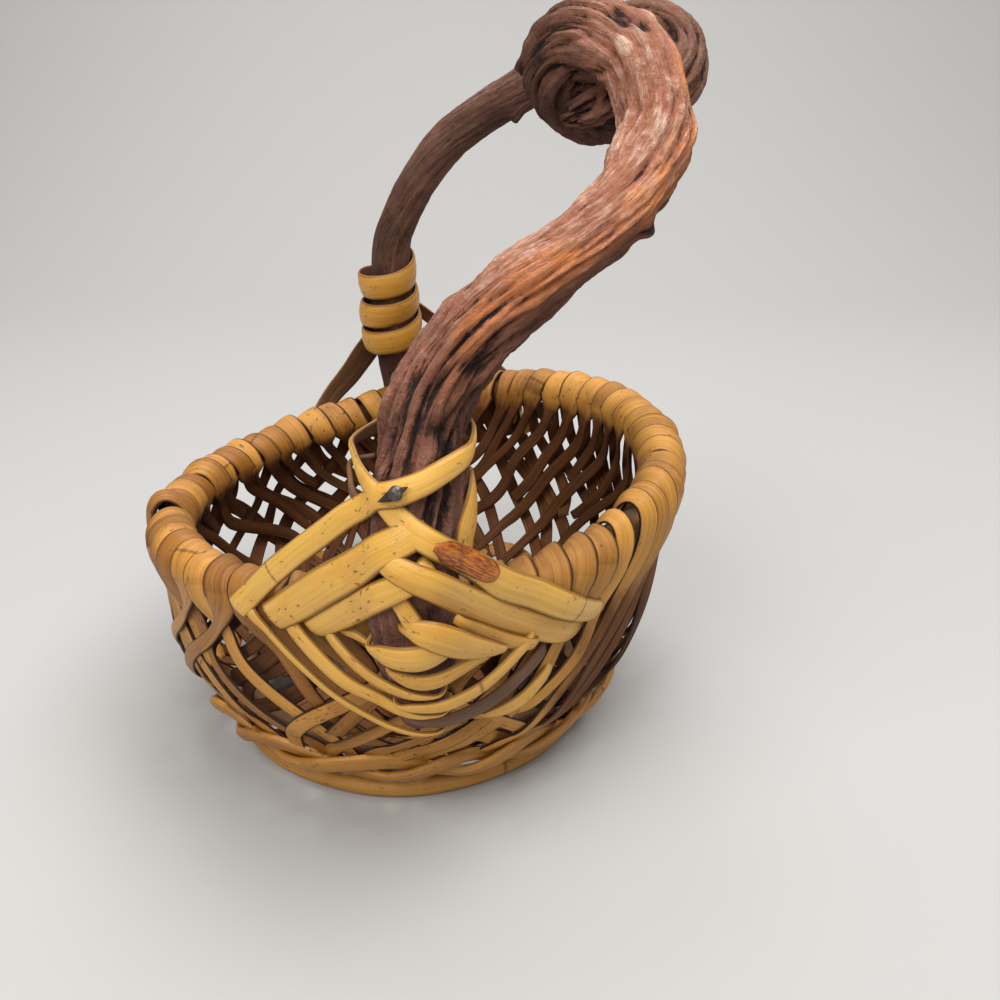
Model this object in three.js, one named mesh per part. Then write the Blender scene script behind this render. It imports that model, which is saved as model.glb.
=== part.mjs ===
// A round cane basket with a tilted, hand bent rim and a carrying handle made of one gnarled vine.
// The handle rises from a lashing at the front, turns once and a half round in a tight curl at the top
// and comes down to a second lashing at the back. Nothing on it moves.
// Units are millimetres, +Z is up, the front lashing faces -Y, and the basket stands on Z = 0.

import * as THREE from "three";

// Rim and bowl
const RIM_RADIUS = 95; // centreline of the rim hoop
const RIM_HEIGHT = 91; // mean height of that centreline above the foot's seat
const RIM_TILT = 12; // how far the high side stands above the mean
const RIM_TILT_TOWARDS = -8; // degrees from +X
const RIM_SADDLE = 3.5; // second wave of the bent hoop
const RIM_SADDLE_TOWARDS = 45;
const RIM_SHIFT_X = 2; // the bowl stands a little to the back left of its foot
const RIM_SHIFT_Y = 2;
const WAIST_SHIFT_X = -3.5;
const WAIST_SHIFT_Y = 5;
const LEAN_STEP = 0.005;
const WAIST_SEAT = 0.35; // share of the height where it is furthest out
const FOOT_SHIFT_X = -2.5;
const FOOT_SHIFT_Y = -5.8;
const HOOP_RADIUS = 5.2;
const FLOOR_RADIUS = 45; // where the bowl's curve would meet the table
const BOWL_ROUNDNESS = 5; // the larger, the sooner the wall turns upright

// Cane wall strips: each runs up the outside, over the rim and down the inside
const STRIP_COUNT = 30;
const STRIP_WIDTH = 7;
const STRIP_TAPER = 0.3; // share of that width lost down at the foot
const WRAP_WIDTH = 12.5; // the strip is widest where it is folded over the rim
const CANE_THICK = 1.2;
const CANE_GAP = 0.4; // clearance between pieces that lie on each other
const WRAP_GAP = 1.9; // clearance between the rim hoop and the cane folded over it
const WEAVE_ROWS = 7; // crossings down each leg, the last one at the foot hoop
const WEAVE_LIFT = 1.7; // how far a strip swings past its own half thickness at a crossing
const COUNTER_SWING = 0.82; // share of that where two legs of the same side meet under an ear
const WEAVE_STEEPNESS = 1.4; // legs leave the rim upright and slant more lower down
const STRIP_TAIL = 0.4; // part of a row that each leg runs on past the foot hoop
const SPREAD_START = 0.7; // share of the height where the two legs part to go round the hoop

// Foot strands outside the wall, and the floor inside it
const FOOT_HOOP_RADIUS = 3.8;
const FOOT_HOOP_SEAT = 0.1; // share of the bowl's height where each strand touches the wall
const LOW_STRAND_RADIUS = 3.2;
const LOW_STRAND_SEAT = 0.162;
const HIGH_STRAND_RADIUS = 3;
const HIGH_STRAND_SEAT = 0.232;
const FLOOR_HOOP_RADIUS = 3;
const FLOOR_HOOP_SEAT = 0.13;
const FLOOR_HOOP_Z = 17;
const STRAND_BED = 0.8; // share of the weave's swing that holds a strand off between two crossings
const SLAT_WIDTH = 17;
const SLAT_PITCH = 34;
const SLATS_PER_LAYER = 3;
const SLAT_THICK = 1.8;

// Vine handle
const TAIL_DROP = 41; // the front end hangs this far below the rim line
const TAIL_RADIUS = 5.5;
const FRONT_SEAT_RADIUS = 9.5; // shaved thinner where it lies against the rim
const FRONT_RADIUS = 14.2; // thickest, just above the front lashing
const LIMB_RADIUS = 10.3; // thinnest, half way up the front leg
const CURL_VINE_RADIUS = 12.4;
const BACK_RADIUS = 7.8;
const COLLAR_CORE_RADIUS = 9.5; // swelling of the back leg under its collar
const BACK_SEAT_RADIUS = 8;
const FRONT_SHOULDER = 24; // height over the rim where the vine is almost at full thickness
const FRONT_LEG_X = 9;
const BACK_LEG_X = -14;
const CURL_X = 64; // centre of the curl where it starts
const CURL_Y = -30;
const CURL_RISE = 149.5; // centre of the curl above the mean rim height
const CURL_REACH = 17.5; // half of the curl's width, from centreline to centreline
const CURL_HEIGHT = 12.5; // half of its height
const CURL_LENGTH = 60; // advance along +Y per turn
const CURL_DRIFT = 15; // sideways step per turn
const CURL_START = 30; // degrees, seen from the front
const CURL_END = 480;
const CURL_STEP = 45;

// Lashings
const LASH_GAP = 0.8; // clearance under a lashing strip
const SLING_EASE = 0.4; // slack of the first lower strip where it goes round the vine's end
const SLING_SLACK = 1.3; // the lower ones are looser, up to this
const LASH_BELLY = 1.5; // how far a leg bows out between the vine and the wall
const FACE_ANGLE = 60; // degrees of the vine's face that a lashing leg covers
const FACE_DROP = 6; // height that it loses there
const LASH_RISE = 26; // where the upper front legs leave the vine's face, above the rim line
const LASH_STEP = 11.5; // from one leg to the next below it
const BACK_LASH_RISE = 14;
const SLING_DROP = 9; // lowest point of the first lower strip, below the rim line
const SLING_STEP = 7;
const BACK_SLING_DROP = 12;
const BACK_SLING_STEP = 9;
const LASH_WIDTH = 7;
const LASH_BROAD = 8.5;
const LOOP_WIDTH = 6.4;
const LOOP_RISE = 39; // where the loop crosses the vine's face, above the rim line
const LOOP_CLIMB = 24; // how much higher it passes behind the vine
const BASE_LASH_WIDTH = 5.2;
const COLLAR_WIDTH = 10.5;
const COLLAR_PITCH = 14;
const COLLAR_TURNS = 3;
const COLLAR_RISE = 23; // foot of the collar above the rim line
const NAIL_RADIUS = 1.7;
const NAIL_THICK = 0.8;

const rad = THREE.MathUtils.degToRad;
const { lerp, smoothstep } = THREE.MathUtils;
const v3 = (x, y, z) => new THREE.Vector3(x, y, z);

const LIFT = CANE_THICK / 2 + WEAVE_LIFT;
const WRAP_RADIUS = HOOP_RADIUS + WRAP_GAP + CANE_THICK / 2; // middle of the cane folded over the rim
const RIM_OUTSIDE = WRAP_RADIUS + CANE_THICK / 2;
const PITCH = (2 * Math.PI) / STRIP_COUNT;
const FRONT = -Math.PI / 2;
const BACK = Math.PI / 2;
const INSIDE_REACH = LIFT + CANE_THICK / 2 + CANE_GAP;
const STACK = CANE_THICK + LASH_GAP; // step from one lashing strip to one that crosses over it

const CANE = new THREE.MeshStandardMaterial({ color: 0xb98a3c, roughness: 0.45, metalness: 0 });
const RIM_CANE = new THREE.MeshStandardMaterial({ color: 0xb57a3a, roughness: 0.5, metalness: 0 });
const LASH_CANE = new THREE.MeshStandardMaterial({ color: 0xc8a04c, roughness: 0.42, metalness: 0 });
const BARK = new THREE.MeshStandardMaterial({ color: 0x5f3c2e, roughness: 0.85, metalness: 0 });
const IRON = new THREE.MeshStandardMaterial({ color: 0x6d6a64, roughness: 0.5, metalness: 0.8 });

const basket = new THREE.Group();

function addPiece(name, geometry, material) {
  const piece = new THREE.Mesh(geometry, material);
  piece.name = name;
  basket.add(piece);
  return piece;
}

// Rings of points joined into one closed skin. A loop joins its last ring to its first,
// any other skin is closed by a flat face at each end.
function skin(rings, loop = false) {
  const sides = rings[0].length;
  const positions = rings.flatMap((ring) => ring.flatMap((p) => [p.x, p.y, p.z]));
  const faces = [];
  const spans = loop ? rings.length : rings.length - 1;
  for (let i = 0; i < spans; i++) {
    const here = i * sides;
    const next = ((i + 1) % rings.length) * sides;
    for (let j = 0; j < sides; j++) {
      const k = (j + 1) % sides;
      faces.push(here + j, next + j, next + k, here + j, next + k, here + k);
    }
  }
  if (!loop) {
    const last = (rings.length - 1) * sides;
    for (let j = 1; j < sides - 1; j++) {
      faces.push(0, j, j + 1, last, last + j + 1, last + j);
    }
  }
  const geometry = new THREE.BufferGeometry();
  geometry.setAttribute("position", new THREE.Float32BufferAttribute(positions, 3));
  geometry.setIndex(signedVolume(positions, faces) < 0 ? faces.reverse() : faces);
  geometry.computeVertexNormals();
  return geometry;
}

function signedVolume(positions, faces) {
  const corner = (i) => v3(positions[3 * i], positions[3 * i + 1], positions[3 * i + 2]);
  let sum = 0;
  for (let i = 0; i < faces.length; i += 3) {
    sum += corner(faces[i]).dot(corner(faces[i + 1]).cross(corner(faces[i + 2])));
  }
  return sum / 6;
}

// A flat strip through stations of { p, n, w }: n is the side that faces out, w the width there.
function strip(stations, thick = CANE_THICK) {
  const rings = stations.map(({ p, n, w }, i) => {
    const before = stations[Math.max(0, i - 1)].p;
    const after = stations[Math.min(stations.length - 1, i + 1)].p;
    const along = after.clone().sub(before).normalize();
    const across = along.clone().cross(n).normalize();
    const out = across.clone().cross(along).multiplyScalar(thick / 2);
    across.multiplyScalar(w / 2);
    return [
      p.clone().add(across).add(out),
      p.clone().sub(across).add(out),
      p.clone().sub(across).sub(out),
      p.clone().add(across).sub(out),
    ];
  });
  return skin(rings);
}

// A hoop through the points that line gives for each azimuth; its section has a flat side underneath.
function flatHoop(line, thickness, sides = 6, steps = 44) {
  const rings = Array.from({ length: steps }, (_, i) => {
    const a = (i / steps) * 2 * Math.PI;
    return Array.from({ length: sides }, (_, j) => {
      const b = ((j + 0.5) / sides) * 2 * Math.PI - Math.PI / 2;
      const r = thickness * Math.cos(b);
      return line(a).add(v3(r * Math.cos(a), r * Math.sin(a), thickness * Math.sin(b)));
    });
  });
  return skin(rings, true);
}

// The bowl: s runs from 0 on the table to 1 on the rim line, off is measured square to the wall.
function rimHeight(a) {
  const tilt = RIM_TILT * Math.cos(a - rad(RIM_TILT_TOWARDS));
  return RIM_HEIGHT + tilt + RIM_SADDLE * Math.cos(2 * (a - rad(RIM_SADDLE_TOWARDS)));
}

function axisAt(s) {
  const lean = smoothstep(s, FOOT_HOOP_SEAT + LEAN_STEP, WAIST_SEAT);
  const x = lerp(FOOT_SHIFT_X, lerp(WAIST_SHIFT_X, RIM_SHIFT_X, s), lean);
  const y = lerp(FOOT_SHIFT_Y, lerp(WAIST_SHIFT_Y, RIM_SHIFT_Y, s), lean);
  return v3(x, y, 0);
}

function wall(a, s, off = 0) {
  const bend = rimHeight(a) - RIM_HEIGHT;
  const depth = RIM_RADIUS - FLOOR_RADIUS;
  const r = RIM_RADIUS - depth * (1 - s) ** BOWL_ROUNDNESS;
  const z = s * RIM_HEIGHT + s * s * bend;
  const lean = axisAt(s + LEAN_STEP).sub(axisAt(s - LEAN_STEP)).divideScalar(2 * LEAN_STEP);
  const slope = new THREE.Vector2(
    depth * BOWL_ROUNDNESS * (1 - s) ** (BOWL_ROUNDNESS - 1) + lean.x * Math.cos(a) + lean.y * Math.sin(a),
    RIM_HEIGHT + 2 * s * bend,
  ).normalize();
  const n = v3(slope.y * Math.cos(a), slope.y * Math.sin(a), -slope.x);
  const p = axisAt(s).add(v3(r * Math.cos(a), r * Math.sin(a), z)).addScaledVector(n, off);
  return { p, n };
}

// Outermost reach of the woven wall at s, square to the wall.
const spread = (s) => smoothstep(s, SPREAD_START, 1);
const wallReach = (s) => lerp(LIFT, WRAP_RADIUS, spread(s)) + CANE_THICK / 2;

// Share of the height at which a given height is reached at azimuth a.
function shareAt(a, z, off = 0) {
  let low = 0;
  let high = 1.2;
  for (let i = 0; i < 40; i++) {
    const mid = (low + high) / 2;
    if (wall(a, mid, off).p.z < z) low = mid;
    else high = mid;
  }
  return low;
}

// Wall strips
const SLANT = ((WEAVE_ROWS * PITCH) / 2) / (1 - FOOT_HOOP_SEAT) ** WEAVE_STEEPNESS;
const LEG_ROWS = [...Array(WEAVE_ROWS + 1).keys(), WEAVE_ROWS + STRIP_TAIL];

// On the outside the strips left of the two ears slant down to the right, the others down to the left.
const hand = (i) => (Math.cos(i * PITCH) < 0 ? 1 : -1);

// A leg of strip i, on the outside (side 1) or the inside (side -1), from the rim down. Row after row it
// passes over and under the leg that crosses it.
function leg(i, side) {
  const stations = [];
  const way = side * hand(i);
  for (const row of LEG_ROWS) {
    const turn = (row * PITCH) / 2;
    const s = 1 - (turn / SLANT) ** (1 / WEAVE_STEEPNESS);
    const crossing = Math.floor(row);
    const over = crossing % 2 === 1 ? 1 : -1;
    const matched = hand(i) === hand(i + way * crossing);
    const swing = matched ? over * side : over * way * (over * way === side ? 1 : COUNTER_SWING);
    const at = wall(i * PITCH + way * turn, s, lerp(swing * LIFT, side * WRAP_RADIUS, spread(s)));
    const w = lerp(STRIP_WIDTH * (1 - STRIP_TAPER * (1 - s)), WRAP_WIDTH, spread(s));
    stations.push({ p: at.p, n: at.n, w });
  }
  return stations;
}

function hoopFrame(a) {
  const centre = wall(a, 1).p;
  const along = wall(a + 0.01, 1).p.sub(wall(a - 0.01, 1).p).normalize();
  const out = v3(Math.cos(a), Math.sin(a), 0);
  out.addScaledVector(along, -out.dot(along)).normalize();
  return { centre, out, up: out.clone().cross(along).normalize() };
}

function wallStrip(i) {
  const { centre, out, up } = hoopFrame(i * PITCH);
  const fold = [];
  for (let step = 0; step <= 6; step++) {
    const b = (step / 6) * Math.PI;
    const n = out.clone().multiplyScalar(Math.cos(b)).addScaledVector(up, Math.sin(b));
    fold.push({ p: centre.clone().addScaledVector(n, WRAP_RADIUS), n, w: WRAP_WIDTH });
  }
  const outer = leg(i, 1).slice(1).reverse();
  const inner = leg(i, -1).slice(1);
  inner.forEach((station) => station.n.negate());
  return strip([...outer, ...fold, ...inner]);
}

for (let i = 0; i < STRIP_COUNT; i++) {
  addPiece(`wall_strip_${String(i + 1).padStart(2, "0")}`, wallStrip(i), RIM_CANE);
}

// Rim hoop
function rimHoop(steps = 60, sides = 8) {
  const rings = Array.from({ length: steps }, (_, i) => {
    const { centre, out, up } = hoopFrame((i / steps) * 2 * Math.PI);
    return Array.from({ length: sides }, (_, j) => {
      const b = (j / sides) * 2 * Math.PI;
      const p = centre.clone().addScaledVector(out, HOOP_RADIUS * Math.cos(b));
      return p.addScaledVector(up, HOOP_RADIUS * Math.sin(b));
    });
  });
  return skin(rings, true);
}

addPiece("rim_hoop", rimHoop(), CANE);

// Foot strands and the floor. A strand is held off furthest where it lies on a row of crossings.
function weaveReach(s) {
  const row = WEAVE_ROWS * ((1 - s) / (1 - FOOT_HOOP_SEAT)) ** WEAVE_STEEPNESS;
  const crest = Math.abs(1 - 2 * (row % 1));
  return CANE_THICK / 2 + LIFT * lerp(STRAND_BED, 1, crest);
}

// Largest radius about the floor's centre that stays clear of the wall strips inside at height z.
function clearRadius(z) {
  let least = Infinity;
  for (let a = 0; a < 2 * Math.PI; a += PITCH / 2) {
    const { p } = wall(a, shareAt(a, z, -INSIDE_REACH), -INSIDE_REACH);
    least = Math.min(least, Math.hypot(p.x - floorCentre.x, p.y - floorCentre.y));
  }
  return least;
}

function seatedHoop(seat, thickness) {
  const off = weaveReach(seat) + CANE_GAP + thickness;
  return flatHoop((a) => wall(a, seat, off).p, thickness);
}

function levelHoop(centre, radius, height, thickness) {
  return flatHoop((a) => v3(radius * Math.cos(a), radius * Math.sin(a), height).add(centre), thickness);
}

// The foot hoop and the floor hoop lie level, the floor hoop clear of the wall all round.
const footCentre = axisAt(FOOT_HOOP_SEAT);
const footAt = wall(BACK, FOOT_HOOP_SEAT, weaveReach(FOOT_HOOP_SEAT) + CANE_GAP + FOOT_HOOP_RADIUS).p;
const floorCentre = axisAt(FLOOR_HOOP_SEAT);
const floorReach = clearRadius(FLOOR_HOOP_Z - FLOOR_HOOP_RADIUS / 2) - FLOOR_HOOP_RADIUS;
addPiece("foot_hoop", levelHoop(footCentre, footAt.y - footCentre.y, footAt.z, FOOT_HOOP_RADIUS), CANE);
addPiece("foot_strand_low", seatedHoop(LOW_STRAND_SEAT, LOW_STRAND_RADIUS), CANE);
addPiece("foot_strand_high", seatedHoop(HIGH_STRAND_SEAT, HIGH_STRAND_RADIUS), CANE);
addPiece("floor_hoop", levelHoop(floorCentre, floorReach, FLOOR_HOOP_Z, FLOOR_HOOP_RADIUS), CANE);

const topSlatZ = FLOOR_HOOP_Z - FLOOR_HOOP_RADIUS - CANE_GAP - SLAT_THICK / 2;
for (let layer = 0; layer < 2; layer++) {
  const z = topSlatZ - layer * (SLAT_THICK + CANE_GAP);
  const reach = clearRadius(z - SLAT_THICK / 2);
  for (let i = 0; i < SLATS_PER_LAYER; i++) {
    const side = (i - (SLATS_PER_LAYER - 1) / 2) * SLAT_PITCH;
    const edge = Math.abs(side) + SLAT_WIDTH / 2;
    const length = 2 * Math.sqrt(reach ** 2 - edge ** 2);
    const slat = addPiece(
      `floor_slat_${layer === 0 ? "top" : "low"}_${i + 1}`,
      new THREE.BoxGeometry(length, SLAT_WIDTH, SLAT_THICK),
      CANE,
    );
    slat.rotation.z = layer === 0 ? Math.PI / 4 : -Math.PI / 4;
    slat.position.set(0, side, 0).applyEuler(slat.rotation).add(floorCentre);
    slat.position.z = z;
  }
}

// Vine handle
const frontRim = wall(FRONT, 1).p;
const backRim = wall(BACK, 1).p;
const frontSeatY = frontRim.y - RIM_OUTSIDE - CANE_GAP - FRONT_SEAT_RADIUS;
const backSeatY = backRim.y + RIM_OUTSIDE + CANE_GAP + BACK_SEAT_RADIUS;
const curlZ = RIM_HEIGHT + CURL_RISE;

function tailPoint(a, x, rim, radius) {
  const s = shareAt(a, rim.z - TAIL_DROP);
  const { p } = wall(a, s, wallReach(s) + CANE_GAP + radius);
  return v3(x, p.y, p.z);
}

function curlPoint(degrees) {
  const turns = degrees / 360;
  const b = rad(degrees);
  return v3(
    CURL_X + CURL_DRIFT * turns + CURL_REACH * Math.cos(b),
    CURL_Y + CURL_LENGTH * turns,
    curlZ + CURL_HEIGHT * Math.sin(b),
  );
}

// Shares of the way in x, y and z from one end of a leg to the other
function partWay(from, to, [x, y, z]) {
  return v3(lerp(from.x, to.x, x), lerp(from.y, to.y, y), lerp(from.z, to.z, z));
}

const curlFirst = curlPoint(CURL_START);
const curlLast = curlPoint(CURL_END);
const frontSeat = v3(FRONT_LEG_X, frontSeatY, frontRim.z);
const backSeat = v3(BACK_LEG_X, backSeatY, backRim.z);
// The fourth number is how full the leg is there, from its thinnest to its thickest
const FRONT_LEG = [
  [0.029, 0.125, 0.3, 0.85],
  [0.076, 0.209, 0.445, 0.54],
  [0.238, 0.314, 0.55, 0.36],
  [0.458, 0.429, 0.627, 0.18],
  [0.672, 0.524, 0.693, 0],
  [0.849, 0.617, 0.753, 0.05],
  [0.959, 0.727, 0.807, 0.28],
  [1.03, 0.861, 0.878, 0.52],
];
const BACK_LEG = [
  [0.358, 0.112, 0.126, 0],
  [0.52, 0.223, 0.184, 0],
  [0.681, 0.335, 0.254, 0],
  [0.823, 0.447, 0.352, 0],
  [0.919, 0.542, 0.447, 0],
  [0.979, 0.622, 0.527, 0.1],
  [1, 0.69, 0.61, 0.6],
  [1, 0.8, 0.8, 1],
];
const vineLine = [
  [tailPoint(FRONT, FRONT_LEG_X, frontRim, TAIL_RADIUS), TAIL_RADIUS],
  [frontSeat, FRONT_SEAT_RADIUS],
  [frontSeat.clone().add(v3(0, 2.5, FRONT_SHOULDER)), lerp(FRONT_SEAT_RADIUS, FRONT_RADIUS, 0.75)],
  ...FRONT_LEG.map((shares) => [
    partWay(frontSeat, curlFirst, shares),
    lerp(LIMB_RADIUS, FRONT_RADIUS, shares[3]),
  ]),
];
for (let degrees = CURL_START; degrees <= CURL_END; degrees += CURL_STEP) {
  const share = (degrees - CURL_START) / (CURL_END - CURL_START);
  vineLine.push([curlPoint(degrees), lerp(CURL_VINE_RADIUS, BACK_RADIUS, share ** 2)]);
}
vineLine.push(
  ...BACK_LEG.map((shares) => [
    partWay(curlLast, backSeat, shares),
    lerp(BACK_RADIUS, COLLAR_CORE_RADIUS, shares[3]),
  ]),
  [backSeat, BACK_SEAT_RADIUS],
  [tailPoint(BACK, BACK_LEG_X, backRim, TAIL_RADIUS), TAIL_RADIUS],
);

const VINE_STEPS = 76;
const VINE_SIDES = 10;
const vineCurve = new THREE.CatmullRomCurve3(vineLine.map(([p]) => p), false, "centripetal");
const vineStations = vineFrames(VINE_STEPS * 4);

function vineRadius(t) {
  const at = t * (vineLine.length - 1);
  const i = Math.min(vineLine.length - 2, Math.floor(at));
  return lerp(vineLine[i][1], vineLine[i + 1][1], smoothstep(at - i, 0, 1));
}

// Points along the vine with a frame that doesn't twist from one to the next.
function vineFrames(steps) {
  const stations = [];
  let side = v3(1, 0, 0);
  for (let i = 0; i <= steps; i++) {
    const t = i / steps;
    const along = vineCurve.getTangent(t);
    side = side.clone().addScaledVector(along, -side.dot(along)).normalize();
    stations.push({ p: vineCurve.getPoint(t), r: vineRadius(t), along, side, up: along.clone().cross(side) });
  }
  return stations;
}

function aroundVine({ p, side, up }, radius, b) {
  const n = side.clone().multiplyScalar(Math.cos(b)).addScaledVector(up, Math.sin(b));
  return { p: p.clone().addScaledVector(n, radius), n };
}

const vineRings = vineStations
  .filter((_, i) => i % 4 === 0)
  .map((at) =>
    Array.from({ length: VINE_SIDES }, (_, j) => aroundVine(at, at.r, (j / VINE_SIDES) * 2 * Math.PI).p),
  );
addPiece("handle_vine", skin(vineRings), BARK);

// Lashings. An ear is one of the two places where the vine crosses the rim: out points away from the
// bowl there, side to the right of someone who looks at that ear from outside.
function ear(azimuth, stations) {
  const out = v3(Math.cos(azimuth), Math.sin(azimuth), 0);
  return { azimuth, out, side: v3(0, 0, 1).cross(out), stations };
}

const half = Math.floor(vineStations.length / 2);
const earFront = ear(FRONT, vineStations.slice(0, half));
const earBack = ear(BACK, vineStations.slice(half).reverse());

function vineAt({ stations }, z) {
  const i = Math.max(1, stations.findIndex(({ p }) => p.z >= z));
  const [low, high] = [stations[i - 1], stations[i]];
  const share = (z - low.p.z) / (high.p.z - low.p.z);
  return { p: low.p.clone().lerp(high.p, share), r: lerp(low.r, high.r, share), along: high.along };
}

// Point level with height z of the vine's middle, turned by b from straight out towards the side,
// and clear of the bark by off.
function onVine(at, z, b, off) {
  const { p, r, along } = vineAt(at, z);
  const out = at.out.clone().addScaledVector(along, -at.out.dot(along)).normalize();
  const side = out.clone().cross(along).normalize();
  if (side.dot(at.side) < 0) side.negate();
  const n = out.multiplyScalar(Math.cos(b)).addScaledVector(side, Math.sin(b));
  return { p: p.addScaledVector(n, r + off), n };
}

// Point on the outside of the woven wall, clear of it by off.
function onWall(a, z, off) {
  const s = Math.min(1, shareAt(a, z));
  return wall(a, s, wallReach(s) + off);
}

const LAID = LASH_GAP + CANE_THICK / 2; // middle of a strip that lies on a surface

// A lashing leg from the vine's face to the wall. It starts past the middle of the face by reach degrees
// and ends at the azimuth turn, at height zWall; a higher layer crosses over a lower one.
function lashLeg(at, side, zVine, turn, zWall, width, layer, reach) {
  const off = LAID + layer * STACK;
  const end = onWall(at.azimuth + side * turn, zWall, off);
  const stations = [];
  for (let b = reach > 0 ? -reach : 0; b <= FACE_ANGLE; b += 20) {
    const z = zVine - (b / FACE_ANGLE) * FACE_DROP;
    stations.push({ ...onVine(at, z, side * rad(b), off), w: width });
  }
  const start = stations[stations.length - 1];
  const middle = axisAt(1);
  const polar = (p) => [Math.hypot(p.x - middle.x, p.y - middle.y), Math.atan2(p.y - middle.y, p.x - middle.x)];
  const [r0, a0] = polar(start.p);
  const [r1, a1] = polar(end.p);
  const steps = Math.max(3, Math.round(Math.abs(a1 - a0) / rad(5)));
  for (let i = 1; i <= steps; i++) {
    const share = i / steps;
    const r = lerp(r0, r1, share) + LASH_BELLY * Math.sin(Math.PI * share);
    const a = lerp(a0, a1, share);
    const p = v3(middle.x + r * Math.cos(a), middle.y + r * Math.sin(a), lerp(start.p.z, end.p.z, share));
    stations.push({ p, n: start.n.clone().lerp(end.n, share).normalize(), w: width });
  }
  return stations;
}

// The first lashing turn: up from the rim on the left, over the vine's face, round behind it,
// and under itself across the face to the wall on the right.
function lashLoop(at, zFace, climb, leftTurn, zLeft, rightTurn, zRight, width) {
  const left = lashLeg(at, -1, zFace, leftTurn, zLeft, width, 1, 0).reverse();
  const right = lashLeg(at, 1, zFace - width, rightTurn, zRight, width, 0, 0);
  const round = [];
  for (let b = 20; b <= 340; b += 20) {
    const share = b / 360;
    const layer = 1 - smoothstep(b, 40, 140);
    const z = zFace - width * share + climb * Math.sin(Math.PI * share);
    round.push({ ...onVine(at, z, rad(b), LAID + layer * STACK), w: width });
  }
  return [...left, ...round, ...right];
}

// A lower lashing strip that hangs from the wall on both sides and passes round the vine's end.
function lashSling(at, zLow, leftTurn, zLeft, rightTurn, zRight, width, ease) {
  const stations = [];
  for (let i = -6; i <= 6; i++) {
    const share = (Math.abs(i) / 6) ** 1.5;
    const turn = i < 0 ? -leftTurn : rightTurn;
    const zEnd = i < 0 ? zLeft : zRight;
    const low = vineAt(at, zLow).p;
    const a = lerp(Math.atan2(low.y, low.x), at.azimuth + turn, share);
    const z = lerp(zLow, zEnd, share ** 1.5);
    const core = vineAt(at, z);
    const ground = onWall(a, z, LAID + ease);
    const aside = ground.p.clone().sub(core.p).dot(at.side);
    const reach = core.r + LAID + ease;
    const need = core.p.dot(at.out) + reach - aside ** 2 / (2.4 * reach) - ground.p.dot(at.out);
    const n = ground.n.clone().setZ(0).normalize();
    stations.push({ p: ground.p.addScaledVector(at.out, Math.max(0, need)), n, w: width });
  }
  return stations;
}

// Front ear, from the top down. The slings' rows are degrees and drop to the left, then to the right.
const earZ = frontRim.z;
const frontLoop = lashLoop(earFront, earZ + LOOP_RISE, LOOP_CLIMB, rad(30), earZ - 4, rad(44), earZ - 14, LOOP_WIDTH);
addPiece("front_lash_loop", strip(frontLoop), LASH_CANE);
const frontLegs = [
  ["front_lash_left_high", -1, earZ + LASH_RISE, rad(22), earZ - 5, LASH_BROAD, 1, 14],
  ["front_lash_left_low", -1, earZ + LASH_RISE - LASH_STEP, rad(14), earZ - 5, LASH_WIDTH, 1.5, 14],
  ["front_lash_right_high", 1, earZ + LASH_RISE - FACE_DROP, rad(37), earZ - 22, LASH_WIDTH, 0, 20],
  ["front_lash_right_low", 1, earZ + LASH_RISE - FACE_DROP - LASH_STEP, rad(22), earZ - 13, LASH_WIDTH, 0, 20],
];
for (const [name, ...sizes] of frontLegs) {
  addPiece(name, strip(lashLeg(earFront, ...sizes)), LASH_CANE);
}
const frontSlings = [
  [6, -5, 7, -6],
  [10, -9, 12, -12],
  [15, -11, 17, -22],
  [21, -13, 24, -27],
  [28, -15, 31, -31],
];
frontSlings.forEach(([left, dropLeft, right, dropRight], i) => {
  const z = earZ - SLING_DROP - i * SLING_STEP;
  const ease = lerp(SLING_EASE, SLING_SLACK, i / frontSlings.length);
  const ends = [rad(left), earZ + dropLeft, rad(right), earZ + dropRight];
  const path = lashSling(earFront, z, ...ends, BASE_LASH_WIDTH, ease);
  addPiece(`front_lash_sling_${i + 1}`, strip(path), LASH_CANE);
});

// Nail that pins the front loop to the vine
const nailSeat = onVine(earFront, earZ + LOOP_RISE, 0, LAID + STACK + CANE_THICK / 2 + NAIL_THICK / 2 + CANE_GAP / 2);
const nail = addPiece("front_lash_nail", new THREE.CylinderGeometry(NAIL_RADIUS, NAIL_RADIUS, NAIL_THICK, 10), IRON);
nail.position.copy(nailSeat.p);
nail.quaternion.setFromUnitVectors(v3(0, 1, 0), nailSeat.n);

// Back ear: a collar of three turns round the vine, then legs and slings as at the front
function collar(at, zLow) {
  const start = at.stations.findIndex(({ p }) => p.z >= zLow);
  const steps = 16 * COLLAR_TURNS;
  const stations = [];
  let along = 0;
  let i = start;
  for (let step = 0; step <= steps; step++) {
    const want = (step / 16) * COLLAR_PITCH;
    let span = at.stations[i + 1].p.distanceTo(at.stations[i].p);
    while (along + span < want) {
      along += span;
      i += 1;
      span = at.stations[i + 1].p.distanceTo(at.stations[i].p);
    }
    const share = (want - along) / span;
    const { p, r } = at.stations[i];
    const core = { ...at.stations[i], p: p.clone().lerp(at.stations[i + 1].p, share) };
    const b = (step / 16) * 2 * Math.PI;
    stations.push({ ...aroundVine(core, r + LAID, b), w: COLLAR_WIDTH });
  }
  return stations;
}

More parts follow.
